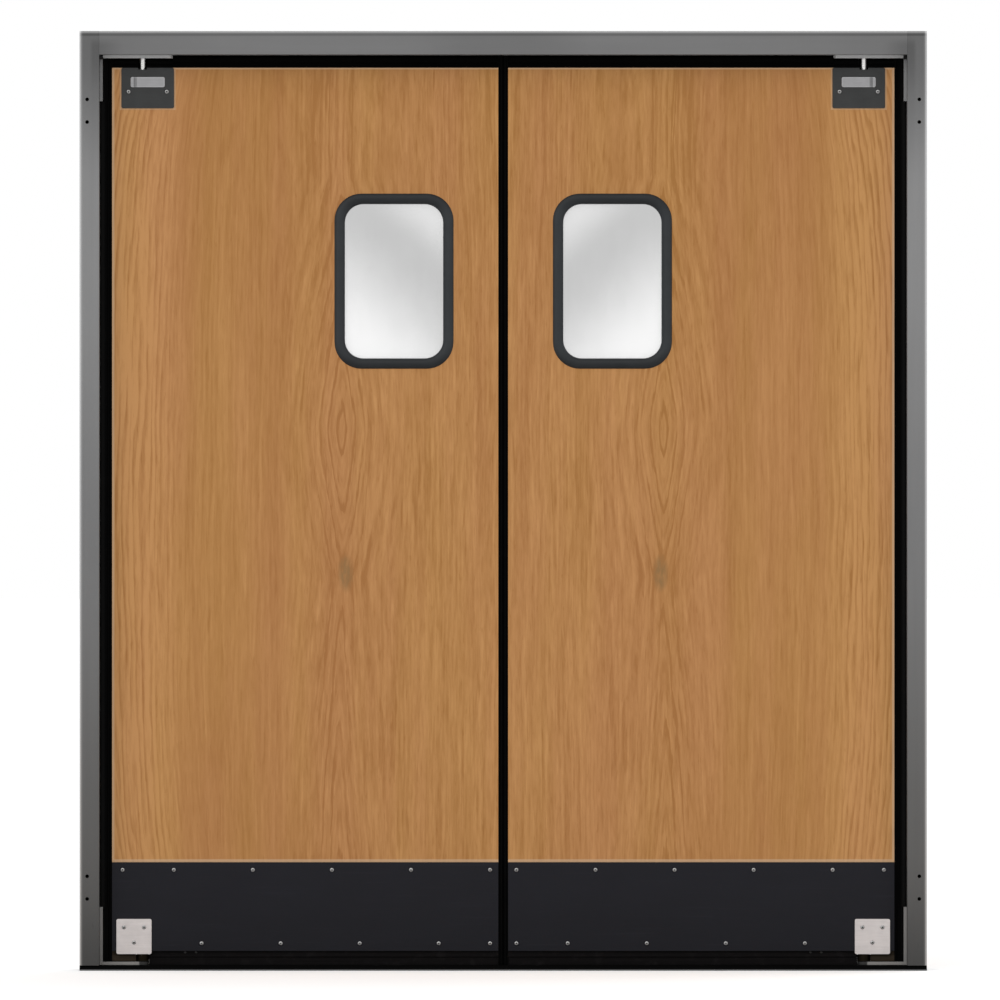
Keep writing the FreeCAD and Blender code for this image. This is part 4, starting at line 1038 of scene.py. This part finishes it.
def sweep_rivets(hand):
    """Two small rivets through the sweep's retainer, on both faces."""
    bm = bmesh.new()
    side = -1 if hand == "left" else 1
    for x in RIVET_PLACES:
        for y in (-gasket_half, gasket_half):
            rivet = bmesh.new()
            bmesh.ops.create_uvsphere(rivet, u_segments=16, v_segments=8, radius=RIVET_RADIUS)
            bmesh.ops.scale(rivet, vec=(1, RIVET_CROWN, 1), verts=rivet.verts)
            bmesh.ops.translate(rivet, vec=(side * x, y, leaf_low.z - RIVET_DROP), verts=rivet.verts)
            gather(bm, rivet)
    add_piece(hand + "_sweep_rivets", bm, [dark_metal_and_recess_shade], hand + "_leaf")


def collar_seals():
    """A rubber ring in the bevel under each thrust collar, which keeps dirt out."""
    bm = bmesh.new()
    radius = (collar_high.x - collar_low.x) / 2
    centre = (collar_low + collar_high) / 2
    for x in (centre.x, -centre.x):
        place = Matrix.Translation((x, centre.y, collar_low.z + SEAL_HEIGHT / 2))
        bmesh.ops.create_cone(bm, cap_ends=False, segments=64, radius1=radius, radius2=radius,
                              depth=SEAL_HEIGHT, matrix=place)
    bmesh.ops.recalc_face_normals(bm, faces=bm.faces)
    bmesh.ops.solidify(bm, geom=bm.faces[:], thickness=SEAL_HEIGHT)
    add_piece("thrust_collar_seals", bm, [level_rubber], "frame")


def anchor_plugs():
    """Black push-in plugs, just inside the rear ends of the anchor holes."""
    bm = anchor_rods(frame_half - PLUG_SETBACK, PLUG_LENGTH)
    add_piece("anchor_hole_plugs", soften(bm, PLUG_EDGE), [level_rubber], "frame")


def anchor_sleeves():
    """Spacer tubes between the faces of the jambs, round the paths of the anchor bolts."""
    bm = anchor_rods(0.0, (frame_half - SHEET_GAUGE) * 2)
    caps = [face for face in bm.faces if abs(face.normal.y) > 0.9]
    bmesh.ops.delete(bm, geom=caps, context="FACES")
    bmesh.ops.recalc_face_normals(bm, faces=bm.faces)
    bmesh.ops.solidify(bm, geom=bm.faces[:], thickness=-SLEEVE_WALL)
    add_piece("anchor_sleeves", bm, [dark_metal_and_recess_shade], "frame")


collar_seals()
anchor_plugs()
anchor_sleeves()
for hand in ("left", "right"):
    leaf_screws(hand, "kick_plate_screws")
    leaf_screws(hand, "hinge_plate_screws")
    sweep_rivets(hand)
bracket_screws()


# Finishes on the nodes whose shapes stay

KEPT_NODES = {
    "threshold": anodised, "frame_clips": clip_metal, "thrust_collar": collar_bronze_in_painted_shade,
    "upper_pivot_pin": pin_metal, "lower_pivot_pin": pin_metal,
    "upper_bush": nylon, "lower_bush": nylon, "lower_bearing_block": block_metal,
    "core": core_board, "front_laminate": oak, "rear_laminate": oak, "window_pane": acrylic,
}
for name, item in frame["nodes"].items():
    finish = KEPT_NODES.get(name.removeprefix("left_").removeprefix("right_"))
    if finish:
        for place in item.material_slots:
            place.material = finish


# Studio

FLOOR_REACH = 120.0
FLOOR_DROP = 0.0002
LAMP_SPREAD = math.radians(60)
CAMERA_PLACE = (-0.0074, -31.97, 1.0815)
CAMERA_LENS = 500.0
CAMERA_SENSOR = 36.0
CAMERA_REACH = 400.0


def floor():
    """A plain pale floor. To the camera it is near white, and it keeps the door's shadow."""
    bm = bmesh.new()
    bmesh.ops.create_grid(bm, x_segments=1, y_segments=1, size=FLOOR_REACH)
    bmesh.ops.translate(bm, vec=(0, 0, -FLOOR_DROP), verts=bm.verts)
    mesh = bpy.data.meshes.new("floor")
    bm.to_mesh(mesh)
    bm.free()
    finish = Finish("floor_white", {"Roughness": 0.9, "Specular IOR Level": 0.0, "Emission Strength": 0.3})
    cloud = finish.noise((0.7, 0.7, 0.7), 3.0)
    seen = finish.node("LightPath", output="Is Camera Ray")
    shine = finish.mix(seen, rgb(0, 0, 0), rgb(1, 1, 1))
    pale = finish.mix(cloud, rgb(0.88, 0.88, 0.88), rgb(0.9, 0.9, 0.9))
    mesh.materials.append(finish.done(Base_Color=pale, Emission_Color=shine))
    plane = bpy.data.objects.new("floor", mesh)
    bpy.context.scene.collection.objects.link(plane)


def soft_light(name, strength, direction):
    """A broad soft lamp that shines the same over the whole door."""
    lamp = bpy.data.lights.new(name, "SUN")
    lamp.energy = strength
    lamp.angle = LAMP_SPREAD
    item = bpy.data.objects.new(name, lamp)
    item.rotation_euler = Vector(direction).to_track_quat("-Z", "Y").to_euler()
    bpy.context.scene.collection.objects.link(item)


def studio_world():
    """Soft grey light from all round. To the camera, and in reflections, it is plain white."""
    world = bpy.data.worlds.new("studio")
    world.use_nodes = True
    studio = Nodes(world.node_tree)
    seen = studio.node("LightPath", output="Is Camera Ray")
    for kind in ("Is Glossy Ray", "Is Transmission Ray"):
        seen = seen.math("MAXIMUM", studio.node("LightPath", output=kind))
    shade = studio.mix(seen, rgb(0.56, 0.56, 0.56), rgb(1, 1, 1))
    studio.tree.links.new(shade.output, studio.tree.nodes["Background"].inputs["Color"])
    bpy.context.scene.world = world


def camera():
    """Straight on from far away, as the door is seen in the photograph."""
    lens = bpy.data.cameras.new("camera")
    lens.lens = CAMERA_LENS
    lens.sensor_width = CAMERA_SENSOR
    lens.clip_end = CAMERA_REACH
    item = bpy.data.objects.new("camera", lens)
    item.location = CAMERA_PLACE
    item.rotation_euler = (math.pi / 2, 0, 0)
    bpy.context.scene.collection.objects.link(item)
    bpy.context.scene.camera = item


floor()
soft_light("front_key", 1.1, (0.35, 0.75, -0.56))
soft_light("front_fill", 0.35, (-0.55, 0.7, -0.45))
soft_light("rear_key", 1.2, (-0.4, -0.75, -0.53))
studio_world()
camera()
bpy.context.scene.view_settings.view_transform = "Standard"
